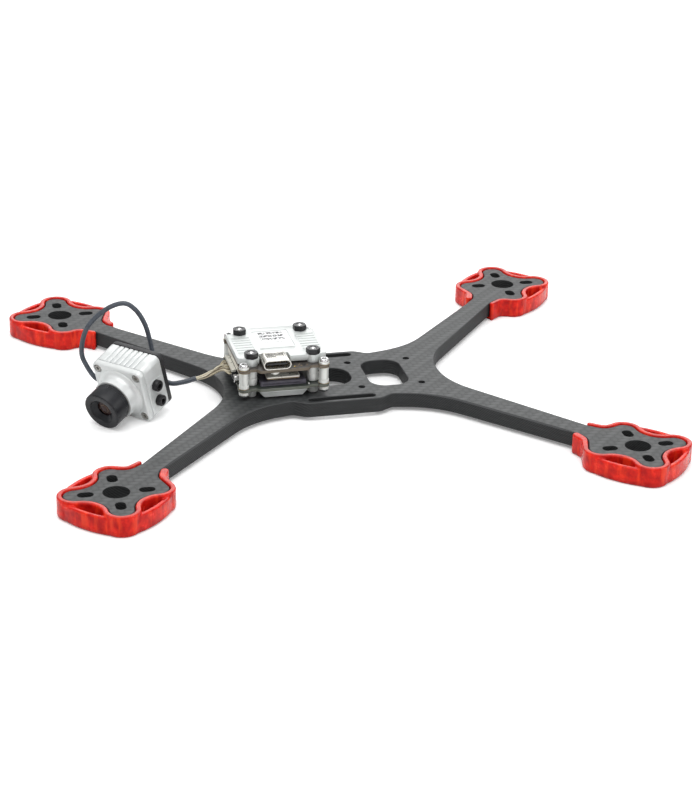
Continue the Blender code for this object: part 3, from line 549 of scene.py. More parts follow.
def board_look(name, face, edge):
    """Solder mask with faint copper runs under it, and the pale glass fibre of the cut edge."""
    look = Look(name, face, 0.42)
    cell = look.add("TexVoronoi", {"Vector": look.stretched(1.0, 1.0, 0.0), "Scale": 0.9, "Randomness": 0.8},
                    "Color",
                    distance="MANHATTAN")
    runs = look.range(look.split(cell)[0], 0.55, 0.6)
    mask = look.mix(look.times(runs, 0.5), face, tuple(channel * 1.9 for channel in face))
    flat = look.range(look.math("ABSOLUTE", look.normal()[2]), 0.6, 0.9)
    strands = look.noise(1.0, 2.0, 0.5, look.stretched(0.5, 0.5, 9.0))
    cut = look.mix(look.range(strands, 0.3, 0.7), tuple(channel * 0.65 for channel in edge), edge)
    look.set("Base Color", look.mix(flat, cut, mask))
    look.bump(look.plus(runs, look.times(strands, 0.4)), 0.02, 0.5)
    return look.material


def label_look():
    """White sticker with three rows of abstract dashes and a fine row; no lettering."""
    look = Look("label_print", (0.80, 0.81, 0.81), 0.45)
    x, y, _ = look.split(look.mm())
    column = look.math("FLOOR", look.math("DIVIDE", y, 0.36))
    row = look.math("FLOOR", look.math("DIVIDE", look.plus(x, 10.5), 0.5))
    cell = look.add("CombineXYZ", {0: column, 1: row, 2: 3.0})
    random_value = look.add("TexWhiteNoise", {"Vector": cell}, "Value", noise_dimensions="3D")
    ink = look.math("GREATER_THAN", random_value, 0.30)

    def band(low_x, high_x, low_y, high_y):
        inside_x = look.times(look.math("GREATER_THAN", x, low_x), look.math("LESS_THAN", x, high_x))
        inside_y = look.times(look.math("GREATER_THAN", y, low_y), look.math("LESS_THAN", y, high_y))
        return look.times(inside_x, inside_y)

    rows = band(-10.0, -8.4, -22.6, -14.6)
    for low_x, high_x in ((-7.6, -6.0), (-5.2, -3.6)):
        rows = look.plus(rows, band(low_x, high_x, -22.6, -14.6))
    fine = look.times(band(-1.9, -1.3, -21.8, -16.0), 0.55)
    printed = look.math("MULTIPLY", look.plus(rows, fine), ink, clamp=True)
    look.set("Base Color", look.mix(printed, (0.80, 0.81, 0.81), (0.03, 0.03, 0.035)))
    look.bump(look.noise(3.0, 2.0), 0.01, 0.4)
    return look.material


def glass_look():
    """Dark coated glass: brown body with a painted coating reflection, violet to amber, that changes towards
    the rim.
    """
    look = Look("lens_coated_glass", (0.03, 0.012, 0.010), 0.10, 0.0, Coat_Weight=0.10, Coat_Roughness=0.05,
                Specular_IOR_Level=0.12)
    # painted reflection: the base colour shifts with the facing angle, amber-brown facing the view and darker
    # towards the rim
    facing = look.add("LayerWeight", {"Blend": 0.45}, "Facing")
    faint = look.noise(0.5, 2.0)
    painted_coating_reflection = look.mix(look.range(facing, 0.1, 0.75), (0.050, 0.024, 0.018), (0.012, 0.008, 0.008))
    look.set("Base Color", look.mix(look.times(faint, 0.4), painted_coating_reflection, (0.030, 0.012, 0.016)))
    return look.material


LOOKS = {
    "carbon": carbon_look(),
    "guard": guard_look(),
    "sink": metal_look("heatsink_anodised", (0.62, 0.645, 0.635), 0.40, 0.30, 5.0, 0.012, 0.04),
    "post": metal_look("post_anodised", (0.68, 0.69, 0.66), 0.34, 0.35, 7.0, 0.008, 0.04),
    "spacer": metal_look("spacer_white", (0.68, 0.69, 0.67), 0.42, 0.25, 6.0, 0.008, 0.05),
    "steel": metal_look("bright_steel", (0.66, 0.66, 0.66), 0.16, 1.0, 8.0, 0.006, 0.05),
    "black_steel": metal_look("black_oxide", (0.030, 0.030, 0.032), 0.30, 0.55, 7.0, 0.008, 0.25),
    "nickel": metal_look("nickel_plate", (0.76, 0.74, 0.69), 0.24, 0.9, 6.0, 0.006, 0.04),
    "gold": metal_look("gold_plate", (0.80, 0.58, 0.24), 0.28, 1.0, 6.0, 0.006, 0.05),
    "shield": metal_look("shield_plate", (0.86, 0.84, 0.76), 0.30, 0.55, 5.0, 0.008, 0.06),
    "shell": metal_look("camera_anodised", (0.68, 0.70, 0.695), 0.40, 0.30, 4.5, 0.014, 0.035),
    "lens": metal_look("lens_black_anodised", (0.015, 0.016, 0.019), 0.32, 0.0, 7.0, 0.008, 0.2,
                       Specular_IOR_Level=0.26),
    "bronze": metal_look("lens_bronze", (0.085, 0.055, 0.035), 0.35, 0.6, 6.0, 0.006, 0.1),
    "black": plastic_look("moulded_black", (0.016, 0.016, 0.018), 0.46),
    "connector": plastic_look("connector_grey", (0.060, 0.056, 0.074), 0.50),
    "white": plastic_look("moulded_white", (0.72, 0.72, 0.68), 0.42),
    "brown": plastic_look("ceramic_brown", (0.26, 0.19, 0.12), 0.40),
    "jacket": plastic_look("cable_jacket", (0.052, 0.062, 0.078), 0.48, 3.0, 0.02),
    "upper_board": board_look("upper_board_mask", (0.046, 0.041, 0.037), (0.150, 0.120, 0.085)),
    "lower_board": board_look("lower_board_mask", (0.032, 0.038, 0.033), (0.130, 0.140, 0.115)),
    "label": label_look(),
    "glass": glass_look(),
    "face_screw": metal_look("face_screw_steel", (0.34, 0.33, 0.31), 0.30, 0.8, 7.0, 0.006, 0.1),
}
COAX_TONES = [plastic_look(f"coax_{index}", tone, 0.42, 4.0, 0.01) for index, tone in enumerate((
    (0.34, 0.29, 0.19), (0.44, 0.39, 0.28), (0.17, 0.135, 0.09), (0.52, 0.48, 0.37)))]


# ---- frame plate ---------------------------------------------------------------------
def outer_arm_x(y):
    return 32.65 + 1.0875 * (y - 42.0)


def inner_arm_x(y):
    return 17.58 + 1.255 * (y - 42.0)


def mount_edge():
    """Edge of one motor mount about its own centre, arm towards -X -Y, counterclockwise."""
    outer_end = (outer_arm_x(MOTOR.y - 14.5) - MOTOR.x, -14.5)
    inner_end = (inner_arm_x(MOTOR.y - 10.0) - MOTOR.x, -10.0)
    lobe = LOBE_DISTANCE
    first_lobe = arc((0, -lobe), LOBE_RADIUS, 248, 360, 14)
    last_lobe = arc((-lobe, 0), LOBE_RADIUS, 90, 218, 16)
    side_one = rounded([(*outer_end, 0), (-7.8, -13.2, 5.0), (*first_lobe[0], 0)], closed=False)
    side_two = rounded([(*last_lobe[-1], 0), (-13.7, -5.6, 4.0), (*inner_end, 0)], closed=False)
    path = side_one[:-1] + first_lobe
    path += arc((lobe, -lobe), VALLEY_RADIUS, 180, 90, 14)[1:] + arc((lobe, 0), LOBE_RADIUS, -90, 90, 22)[1:]
    path += arc((lobe, lobe), VALLEY_RADIUS, 270, 180, 14)[1:] + arc((0, lobe), LOBE_RADIUS, 0, 180, 22)[1:]
    path += arc((-lobe, lobe), VALLEY_RADIUS, 0, -90, 14)[1:]
    return path + last_lobe[1:] + side_two[1:]


def plate_outline():
    """Whole plate edge, counterclockwise, with the size of the top chamfer at each point."""
    waist = [(19.6, 0, 0), (19.6, 12.08, 5.0), (16.86, 16.29, 3.0), (outer_arm_x(30.1), 30.1, 30.0)]
    mount = [(x + MOTOR.x, y + MOTOR.y) for x, y in mount_edge()]
    side = rounded([*waist, (*mount[0], 0)], closed=False, arc_step=4.0)
    nose = rounded([(*mount[-1], 0), (inner_arm_x(35.9), 35.9, 28.0), (0, 35.9, 0)], closed=False,
                   arc_step=4.0)
    side[-1:-1] = [(outer_arm_x(y), y) for y in (38.0, 42.0, 50.0, 58.0, 61.0, 62.0, 63.0)]
    edge = side + mount[1:] + nose[1:]
    sizes = []
    for index, (_, y) in enumerate(edge):
        fade = max(0.0, min(1.0, (y - 24.0) / 9.0, (64.0 - y) / 3.0))
        sizes.append(0.2 + 0.25 * fade * fade * (3 - 2 * fade) if index < len(side) else 0.2)
    outline = []
    chamfer = []
    for sx, sy in ((1, 1), (-1, 1), (-1, -1), (1, -1)):
        quarter = list(zip(edge, sizes))
        if sx * sy < 0:
            quarter = quarter[::-1]
        for (x, y), size in quarter[:-1]:
            outline.append((sx * x, sy * y))
            chamfer.append(size)
    return outline, chamfer


def plate_holes():
    """Hole outlines: first the bores, slots and screw holes, then the windows."""
    holes = []
    windows = []
    for sx, sy in CORNERS:
        centre = (sx * MOTOR.x, sy * MOTOR.y)
        holes.append(circle(centre, BORE_RADIUS, 56))
        for dx, dy in ((1, 0), (-1, 0), (0, 1), (0, -1)):
            middle = (centre[0] + dx * SLOT_DISTANCE, centre[1] + dy * SLOT_DISTANCE)
            holes.append(slot_outline(middle, SLOT_LENGTH, SLOT_WIDTH, dx != 0))
    for pattern_y in (STACK.y, REAR_PATTERN_Y):
        for sx, sy in CORNERS:
            holes.append(circle((sx * HALF_PITCH, pattern_y + sy * HALF_PITCH), HOLE_RADIUS, 28))
        windows.append(box_outline(10.3, 6.47, 5.0, (0, math.copysign(17.98, pattern_y)), 6))
    windows.append(box_outline(6.95, 6.35, 5.9, (0, 0), 6))
    for sx in (1, -1):
        windows.append(slot_outline((sx * 16.95, -0.3), 22.0, 2.7, False))
    return holes, windows


def make_plate():
    outline, chamfer = plate_outline()
    holes, windows = plate_holes()
    work = bmesh.new()
    add_slab(work, edge_levels(outline, PLATE_LOW, PLATE_TOP, 0.2, -1, chamfer),
             [edge_levels(hole, PLATE_LOW, PLATE_TOP, 0.07, 1) for hole in holes]
             + [edge_levels(window, PLATE_LOW, PLATE_TOP, 0.2, 1) for window in windows])
    piece("plate_carbon", finish_mesh("plate_carbon", work), "carbon", "frame", ["frame_plate"])


# ---- motor guards --------------------------------------------------------------------
def bumper_arc(diagonal, wall_in, steps=30):
    """Wall across one diagonal of the mount, from lobe to lobe."""
    angle = math.radians(diagonal)
    centre = Vector((math.cos(angle), math.sin(angle))) * (BUMPER_REACH - BUMPER_RADIUS)
    lobe_angle = math.radians(diagonal - 45)
    away = Vector((math.cos(lobe_angle), math.sin(lobe_angle))) * LOBE_DISTANCE - centre
    start = math.degrees(math.atan2(away.y, away.x))
    half = (diagonal - start + 180) % 360 - 180
    return arc(tuple(centre), BUMPER_RADIUS - wall_in, start, start + 2 * half, steps)


def guard_mesh():
    """One guard in the mount's own quarter, voxel-merged and softened like printed plastic."""
    edge = mount_edge()
    thick = []
    for x, y in edge:
        hook = max(0.0, min(1.0, (-x - 5.0) / 4.0)) if y < -12.0 else 0.0
        thick.append(1.9 + 0.8 * hook)

    def band(out, inner):
        outer = moved_aside(edge, [size - out for size in thick])
        return outer + moved_aside(edge, inner)[::-1]

    work = bmesh.new()
    levels = [(band(0.55, -1.5), 0.0), (band(0.12, -1.5), 0.45), (band(0.0, -1.5), 0.9),
              (band(0.0, 0.3), 0.95),
              (band(0.0, 0.3), GUARD_TOP - 0.4), (band(0.12, 0.36), GUARD_TOP - 0.12),
              (band(0.4, 0.6), GUARD_TOP)]
    add_slab(work, levels)
    top = GUARD_TOP - 0.9
    for diagonal in (-45, 45, 135):
        wall = [(0.6, 1.6, 0.0), (0.1, 1.6, 0.5), (0.0, 1.6, 0.9), (0.0, 1.6, top - 0.4),
                (0.15, 1.5, top - 0.12),
                (0.45, 1.2, top)]
        add_slab(work, [(bumper_arc(diagonal, out) + bumper_arc(diagonal, inner)[::-1], z) for out, inner,
                        z in wall])
    path = smooth_path([(2.6, 14.2, top - 1.0), (3.1, 15.0, top - 0.5), (3.4, 15.9, top - 0.9)], 4)
    add_tube(work, path, 0.42, 8)
    for start, follower, size in ((edge[0], edge[1], thick[0]), (edge[-2], edge[-1], thick[-1])):
        along = (Vector(follower) - Vector(start)).normalized()
        tip = start if start == edge[0] else follower
        middle = Vector(tip) + Vector((along.y, -along.x)) * (0.3 + size) / 2
        radius = (size - 0.3) / 2
        add_turned(work, [(0, 0.0), (radius - 0.3, 0.0), (radius, 0.5), (radius, GUARD_TOP - 0.3),
                          (radius - 0.25, GUARD_TOP), (0, GUARD_TOP)], 24, place=(middle.x, middle.y, 0))
    raw = finish_mesh("guard_raw", work)
    steps = [("REMESH", {"mode": "VOXEL", "voxel_size": 0.2 * MM}),
             ("SMOOTH", {"factor": 0.5, "iterations": 5}), ("DECIMATE", {"ratio": 0.3})]
    return modified("guard_print", raw, steps)


def make_guards():
    source = guard_mesh()
    for name, (sx, sy) in zip(CORNER_NAMES, CORNERS):
        mesh = source.copy()
        mesh.name = "guard_" + name
        move = Matrix.Diagonal((sx, sy, 1, 1)) @ Matrix.Translation((MOTOR.x * MM, MOTOR.y * MM, 0))
        mesh.transform(move)
        if sx * sy < 0:
            mesh.flip_normals()
        mesh.shade_smooth()
        piece("guard_" + name, mesh, "guard", "frame", ["motor_guard_" + name])


# ---- video unit ----------------------------------------------------------------------
def on_stack(corners):
    return [(x, STACK.y + y, radius) for x, y, radius in corners]


def board_outline(half, front):
    ear = 12.95
    r = 1.75
    corners = [
        (half, -9.0, 0.3), (half + front, -8.0, 0.3), (half + front, 7.6, 0.3), (half, 8.6, 0.3),
        (half, ear - r, 0.3), (ear + r, ear - r, 0), (ear + r, ear + r, r), (ear - r, ear + r, 0),
        (ear - r, half + 0.4, 0.2), (-ear + r, half + 0.4, 0.2), (-ear + r, ear + r, 0),
        (-ear - r, ear + r, r),
        (-ear - r, ear - r, 0), (-half, ear - r, 0.2), (-half, -ear + r, 0.2), (-ear - r, -ear + r, 0),
        (-ear - r, -ear - r, r), (-ear + r, -ear - r, 0), (-ear + r, -half - 0.4, 0.2),
        (ear - r, -half - 0.4, 0.2), (ear - r, -ear - r, 0), (ear + r, -ear - r, r), (ear + r, -ear + r, 0),
        (half, -ear + r, 0.3)]
    return rounded(on_stack(corners), arc_step=10)


def make_boards():
    holes = [circle(post[:2], 1.0, 20) for post in POSTS] + [circle(inner[:2], 1.1, 20) for inner in INNERS]
    for name, half, front, low, high in (("lower_board", 13.9, 0.9, LOWER_LOW, LOWER_TOP),
                                         ("upper_board", 13.6, 1.6, UPPER_LOW, UPPER_TOP)):
        mesh = slab("video_" + name + "_panel", board_outline(half, front), low, high, 0.06, holes)
        panel = piece("video_" + name + "_panel", mesh, name, "frame", ["video_" + name])
        pads = bmesh.new()
        for post in POSTS:
            for z in (low - 0.03, high):
                add_turned(pads, [(1.05, z), (1.68, z), (1.68, z + 0.03), (1.05, z + 0.03)], 28, True, 0,
                           (post.x, post.y, 0))
        ring = piece(name + "_gold_pads", finish_mesh(name + "_gold_pads", pads), "gold", "frame", ())
        ring.parent = panel


def chip(work, x, y, z, size_x, size_y, height):
    """A small part with rounded ends standing on a board."""
    add_slab(work, edge_levels(box_outline(size_x / 2, size_y / 2, 0.08, (x, y), 30), z, z + height, 0.05))


def make_small_parts():
    """Resistors, capacitors and test pads along the visible edges of both boards."""
    draw = random.Random(7)
    groups = {"brown": bmesh.new(), "black": bmesh.new(), "gold": bmesh.new(), "white": bmesh.new()}
    for index in range(16):
        y = STACK.y + 3.2 + 0.46 * index
        kind = draw.choice(("brown", "black", "gold", "brown"))
        if abs(y - STACK.y - 10) > 2.5:
            chip(groups[kind], 12.7 + draw.uniform(-0.3, 1.3), y, UPPER_TOP, 0.34, draw.choice((0.3, 0.55)),
                 draw.uniform(0.15, 0.35))
    for index in range(18):
        y = STACK.y - 11.5 + 1.3 * index
        kind = draw.choice(("brown", "black", "gold", "white"))
        if y > -11.6 and abs(abs(y - STACK.y) - 10) > 1.2:
            chip(groups[kind], 13.4 + draw.uniform(-0.2, 0.5), y, LOWER_TOP, 0.5, draw.choice((0.4, 0.8)),
                 draw.uniform(0.2, 0.5))
    for index in range(14):
        x = -9.5 + 1.4 * index
        kind = draw.choice(("brown", "black", "black", "gold"))
        if abs(abs(x) - 10) > 2.5:
            for y, top in ((STACK.y + 13.2, LOWER_TOP), (STACK.y - 13.5, LOWER_TOP)):
                if y > STACK.y or not -4.0 < x < 6.5:
                    chip(groups[kind], x + draw.uniform(-0.2, 0.2), y, top, 0.9, 0.5, draw.uniform(0.3, 0.8))
            chip(groups[kind], x, STACK.y + 12.6, UPPER_LOW - 0.5, 0.8, 0.5, 0.5)
    for kind, work in groups.items():
        name = "board_parts_" + kind
        piece(name, finish_mesh(name, work), kind, "frame", ())


def make_columns():
    gap = 0.1
    seam = PLATE_TOP + 5.35
    low, high = LOWER_TOP + gap, UPPER_LOW - gap
    post = turned("post", [(1.0, low), (1.55, low), (1.65, low + 0.1), (1.65, seam - 0.16),
                           (1.6, seam - 0.08),
                           (1.42, seam - 0.05), (1.42, seam + 0.05), (1.5, seam + 0.1), (1.5, high - 0.9),
                           (1.6, high - 0.8), (1.62, high - 0.1), (1.55, high), (1.0, high)], 40, True)
    joint = PLATE_TOP + 7.0
    spacer = turned("spacer", [(1.1, low), (1.8, low), (1.9, low + 0.1), (1.9, joint - 0.5),
                               (1.7, joint - 0.42),
                               (1.7, joint + 0.42), (1.9, joint + 0.5), (1.9, high - 0.1), (1.8, high),
                               (1.1, high)],
                    36, True)
    foot_low, foot_high = PLATE_TOP + gap, LOWER_LOW - gap
    foot = turned("foot", [(1.1, foot_low), (1.5, foot_low), (1.6, foot_low + 0.1), (1.6, foot_high - 0.12),
                           (1.5, foot_high), (1.1, foot_high)], 36, True)
    head = UPPER_TOP + gap
    collar = turned("collar", [(0.8, head), (1.58, head), (1.65, head + 0.08), (1.65, head + 0.62),
                               (1.52, head + 0.78),
                               (0.8, head + 0.78)], 40, True)
    screw = screw_mesh("top_screw_mesh", 1.5, head + 0.8, head + 1.72, 0.72, UPPER_LOW - 2.2, 0.72)
    under = LOWER_LOW - gap
    cap = turned("cap", [(0, under - 2.0), (0.65, under - 1.98), (1.1, under - 1.85), (1.4, under - 1.6),
                         (1.52, under - 1.2), (0.72, under - 1.1), (0.72, LOWER_TOP + 2.2),
                         (0, LOWER_TOP + 2.2)], 40)
    washer = turned("washer", [(0.8, under - 1.08), (1.55, under - 1.08), (1.65, under - 0.95),
                               (1.65, under - 0.1),
                               (1.58, under), (0.8, under)], 40, True)
    nut_low = SINK_TOP + gap
    nut = nut_mesh(nut_low, nut_low + 1.75)
    seat = PLATE_LOW - gap
    tip = nut_low + 1.75 + 0.14
    bolt = threaded_bolt(seat, tip)
    for post_at, inner_at, corner in zip(POSTS, INNERS, CORNER_NAMES):
        outer = at(post_at.x, post_at.y)
        inner = at(inner_at.x, inner_at.y)
        turn = Matrix.Rotation(0.9 * len(corner), 4, "Z")
        piece("post_" + corner, post, "post", "frame", ["corner_post_" + corner], outer)
        piece("screw_collar_" + corner, collar, "post", "frame", (), outer)
        piece("screw_top_" + corner, screw, "steel", "frame", ["top_screw_" + corner], outer @ turn)
        piece("screw_under_" + corner, cap, "steel", "frame", ["bottom_screw_" + corner], outer)
        piece("screw_washer_" + corner, washer, "post", "frame", (), outer)
        piece("spacer_" + corner, spacer, "spacer", "frame", ["inner_spacer_" + corner], inner)
        piece("standoff_" + corner, foot, "spacer", "frame", ["base_standoff_" + corner], inner)
        piece("nut_" + corner, nut, "black_steel", "frame", ["mounting_nut_" + corner],
              inner @ turn)
        piece("bolt_" + corner, bolt, "steel", "frame", ["mounting_screw_" + corner], inner @ turn)


def screw_mesh(name, radius, low, high, shank, end, socket=0.8, depth=0.7):
    """A pan head with a hexagonal socket, on a plain shank that ends at a lower z."""
    work = bmesh.new()
    steps = 36
    profile = [(0, end), (shank - 0.15, end), (shank, end + 0.15), (shank, low), (radius - 0.08, low),
               (radius, low + 0.1), (radius, high - 0.35), (radius - 0.1, high - 0.14), (radius - 0.32, high),
               (socket * 1.28, high)]
    rings = []
    for r, z in profile:
        rings.append([work.verts.new((0, 0, z))] if r == 0 else add_ring(work, steps, z, r))
    for z in (high - 0.08, high - depth):
        rings.append(add_ring(work, steps, z, lambda _, angle: hexagon(socket, angle)))
    rings.append([work.verts.new((0, 0, high - depth - 0.15))])
    bridge(work, rings)
    return finish_mesh(name, work)


def add_ring(work, steps, z, radius):
    """A ring of vertices about Z; radius is a number or a function of the step and its angle."""
    ring = []
    for step in range(steps):
        angle = 2 * math.pi * step / steps
        r = radius(step, angle) if callable(radius) else radius
        ring.append(work.verts.new((r * math.cos(angle), r * math.sin(angle), z)))
    return ring


def hexagon(flat, angle):
    """Distance from the centre of a hexagon to its edge, flat being half its width."""
    wedge = (angle + math.pi / 6) % (math.pi / 3) - math.pi / 6
    return flat / math.cos(wedge)


def nut_mesh(low, high):
    """Hexagon nut with chamfered corners and a threaded bore."""
    work = bmesh.new()
    steps = 72
    flat = 2.0
    bore, crest = 1.12, 1.0
    threads = 9
    rings = [add_ring(work, steps, low, bore)]
    for z, limit in ((low, 2.12), (low + 0.14, 9.0), (high - 0.16, 9.0), (high, 2.08)):
        rings.append(add_ring(work, steps, z, lambda _, angle: min(hexagon(flat, angle), limit)))
    rings.append(add_ring(work, steps, high, bore))
    for index in range(1, threads):
        rings.append(add_ring(work, steps, high - (high - low) * index / threads,
                              crest if index % 2 else bore))
    bridge(work, rings, True)
    return finish_mesh("nut_mesh", work, 30)


def threaded_bolt(seat, tip):
    """Mounting bolt: button head under the plate, threaded shank, domed tip."""
    profile = [(0, seat - 0.45), (0.65, seat - 0.45), (0.65, seat - 0.95), (1.15, seat - 0.97),
               (1.5, seat - 0.8),
               (1.72, seat - 0.45), (1.75, seat), (0.85, seat)]
    z = PLATE_TOP + 7.0
    profile.append((0.85, z))
    while z < tip - 0.5:
        profile += [(0.78, z + 0.1), (0.88, z + 0.2)]
        z += 0.2
    profile += [(0.8, tip - 0.32), (0.6, tip - 0.12), (0.28, tip), (0, tip)]
    return turned("bolt_mesh", profile, 24, sharp_degrees=50)


def make_top_heatsink():
    usb_low, usb_high = cad("usb_shell")
    notch_low = usb_low.y - 0.5 - STACK.y
    notch_high = usb_high.y + 0.5 - STACK.y
    notch_x = usb_low.x - 0.5
    outline = rounded(on_stack([
        (10.9, -11.95, 1.0), (10.9, notch_low, 0.3), (notch_x, notch_low, 0.6), (notch_x, notch_high, 0.6),
        (10.9, notch_high, 0.3), (10.9, 11.95, 1.0), (9.85, 14.4, 1.2), (-10.25, 14.4, 0.5),
        (-10.25, 10.25, 2.2),
        (-14.2, 10.25, 0.5), (-14.2, -10.25, 0.5), (-10.25, -10.25, 2.2), (-10.25, -14.4, 0.5),
        (9.85, -14.4, 1.2)]), arc_step=10)
    plain = bmesh.new()
    add_slab(plain, [(outline, SINK_LOW), (outline, SINK_TOP)])
    body = finish_mesh("heatsink_slab", plain)
    bosses = []
    for inner in INNERS:
        bosses.append(turned("boss", [(0, 0), (2.05, 0), (2.05, SINK_TOP + 0.03 - UPPER_TOP - 0.1),
                                      (0, SINK_TOP + 0.03 - UPPER_TOP - 0.1)], 40))
        bosses[-1].transform(at(inner.x, inner.y, UPPER_TOP + 0.1))
    body = boolean("heatsink_joined", body, bosses, "UNION")
    label_low, label_high = cad("video_label")
    x0, x1 = label_low.x - 0.05, label_high.x + 0.05
    y0, y1 = label_low.y - 0.05, label_high.y + 0.05
    spans = [(x0, x1, y0, y1, SINK_TOP - 0.35, SINK_TOP + 1),
             (x1 + 1.1, x1 + 1.5, y0, y1, SINK_TOP - 0.2, SINK_TOP + 1)]
    for index in range(9):
        x = -8.6 + 2.0 * index
        for sign in (-1, 1):
            near, far = STACK.y + sign * 7.6, STACK.y + sign * (13.5 if abs(x) < 7.2 else 7.7)
            if abs(x) < 7.2:
                spans.append((x, x + 0.8, min(near, far), max(near, far), SINK_TOP - 0.18, SINK_TOP + 1))
    cutters = [boxes("heatsink_cuts", spans)]
    for inner in INNERS:
        cutters.append(turned("drill", [(0, -3), (1.1, -3), (1.1, 6), (0, 6)], 28))
        cutters[-1].transform(at(inner.x, inner.y, UPPER_TOP))
    body = boolean("heatsink_cut", body, cutters, "DIFFERENCE")
    mesh = bevelled("video_heatsink_top", body, 0.11)
    piece("video_heatsink_top", mesh, "sink", "frame", ["video_top_heatsink"])
    label = slab("video_label_sticker", box_outline((label_high.x - label_low.x) / 2,
                                                    (label_high.y - label_low.y) / 2,
                 0.5, ((label_low.x + label_high.x) / 2, (label_low.y + label_high.y) / 2)), label_low.z,
                 label_high.z, 0.03)
    piece("video_label_sticker", label, "label", "frame", ["video_label"])


def make_bottom_heatsink():
    low, high = cad("video_bottom_heatsink")
    work = bmesh.new()
    half_x, half_y = (high.x - low.x) / 2, (high.y - low.y) / 2
    centre = (0, (low.y + high.y) / 2)
    levels = []
    for inset, z in ((1.4, low.z), (1.3, low.z + 0.1), (0.12, low.z + 1.4), (0.0, low.z + 1.5),
                     (0.0, high.z - 0.12),
                     (0.12, high.z)):
        levels.append((box_outline(half_x - min(inset, 0.15), half_y - inset, 0.4, centre), z))
    add_slab(work, levels)
    block = finish_mesh("bottom_block", work)
    spans = [(-12.0 + 2.2 * index, -11.1 + 2.2 * index, centre[1] - 4.6, centre[1] + 4.6, low.z - 1,
              low.z + 0.7)
             for index in range(11)]
    cut = cut_boxes("bottom_fins", block, spans)
    piece("video_heatsink_bottom", bevelled("video_heatsink_bottom", cut, 0.06), "sink", "frame",
          ["video_bottom_heatsink"])


def make_board_blocks():
    low, high = cad("board_connector")
    centre = ((low.x + high.x) / 2, (low.y + high.y) / 2)
    half = ((high.x - low.x) / 2, (high.y - low.y) / 2)
    block = slab("connector_block", box_outline(half[0], half[1], 0.35, centre), low.z, high.z, 0.12)
    slots = [(low.x + 0.8 + 0.62 * index, low.x + 1.1 + 0.62 * index, low.y - 1, low.y + 0.5, low.z + 0.4,
              high.z - 0.4)
             for index in range(31)]
    slots += [(high.x - 0.4, high.x + 1, low.y + 0.8 + 0.66 * index, low.y + 1.1 + 0.66 * index, low.z + 0.5,
               high.z - 0.9) for index in range(15)]
    block = cut_boxes("connector_slots", block, slots)
    block.name = "connector_block"
    piece("connector_block", block, "connector", "frame", ["board_connector"])
    low, high = cad("radio_shield")
    centre = ((low.x + high.x) / 2, (low.y + high.y) / 2)
    half = ((high.x - low.x) / 2, (high.y - low.y) / 2)
    can = slab("shield_can", box_outline(half[0], half[1], 0.6, centre), low.z + 0.32, high.z, 0.2)
    dimples = [(centre[0] - 7.2 + 4.8 * index, centre[0] - 6.4 + 4.8 * index, centre[1] - 1.4,
                centre[1] + 1.4,
                high.z - 0.12, high.z + 1) for index in range(4)]
    can = cut_boxes("shield_dimples", can, dimples)
    piece("shield_can", can, "shield", "frame", ["radio_shield"])
    fence = slab("shield_fence", box_outline(half[0] - 0.12, half[1] - 0.12, 0.5, centre), low.z,
                 low.z + 0.31, 0.05)
    piece("shield_fence", fence, "brown", "frame", ())
    can_edge_y = -31.4
    strip = slab("board_can_edge", box_outline(9.0, 0.9, 0.3, (0, can_edge_y)), UPPER_LOW - 2.2,
                 UPPER_LOW - 0.12, 0.16)
    piece("board_can_edge", strip, "shield", "frame", ())
    drop = [(1.55 * math.sin(math.radians(9 * step)), 1.2 - 1.2 * math.cos(math.radians(9 * step)))
            for step in range(11)]
    bump = turned("port_bump", [(0, 0), *drop[1:], (0, 1.2)], 36)
    bump_x, bump_y, bump_drop = 13.6, -21.5, 1.21
    piece("port_bump", bump, "white", "frame", (), at(bump_x, bump_y, UPPER_LOW - bump_drop))
    barrel = turned("antenna_barrel", [(0, 0), (0.4, 0), (0.4, 0.5), (0.9, 0.5), (0.9, 0), (1.25, 0),
                                       (1.4, 0.15),
                                       (1.4, 0.8), (1.25, 0.95), (1.25, 1.5), (1.5, 1.6), (1.5, 2.4),
                                       (0, 2.4)], 36)
    turn = Matrix.Rotation(-math.pi / 2, 4, "X")
    piece("antenna_barrel", barrel, "steel", "frame", (),
          at(8.4, STACK.y - 15.4, LOWER_TOP + 1.6) @ turn)
    low, high = cad("camera_socket")
    socket = slab("socket_body", box_outline((high.x - low.x) / 2, (high.y - low.y) / 2, 0.25,
                  ((low.x + high.x) / 2, (low.y + high.y) / 2)), low.z, high.z, 0.12)
    slots = [(low.x + 0.5 + 0.5 * index, low.x + 0.78 + 0.5 * index, low.y - 1, low.y + 0.6, low.z + 0.8,
              high.z - 0.7)
             for index in range(15)]
    socket = cut_boxes("socket_slots", socket, slots)
    piece("socket_body", socket, "black", "frame", ["camera_socket"])
    bar = slab("socket_bar", box_outline((high.x - low.x) / 2 + 0.15, 0.75, 0.2,
                                         ((low.x + high.x) / 2, low.y + 0.6)),
               high.z - 0.95, high.z + 0.02, 0.1)
    piece("socket_bar", bar, "shield", "frame", ())


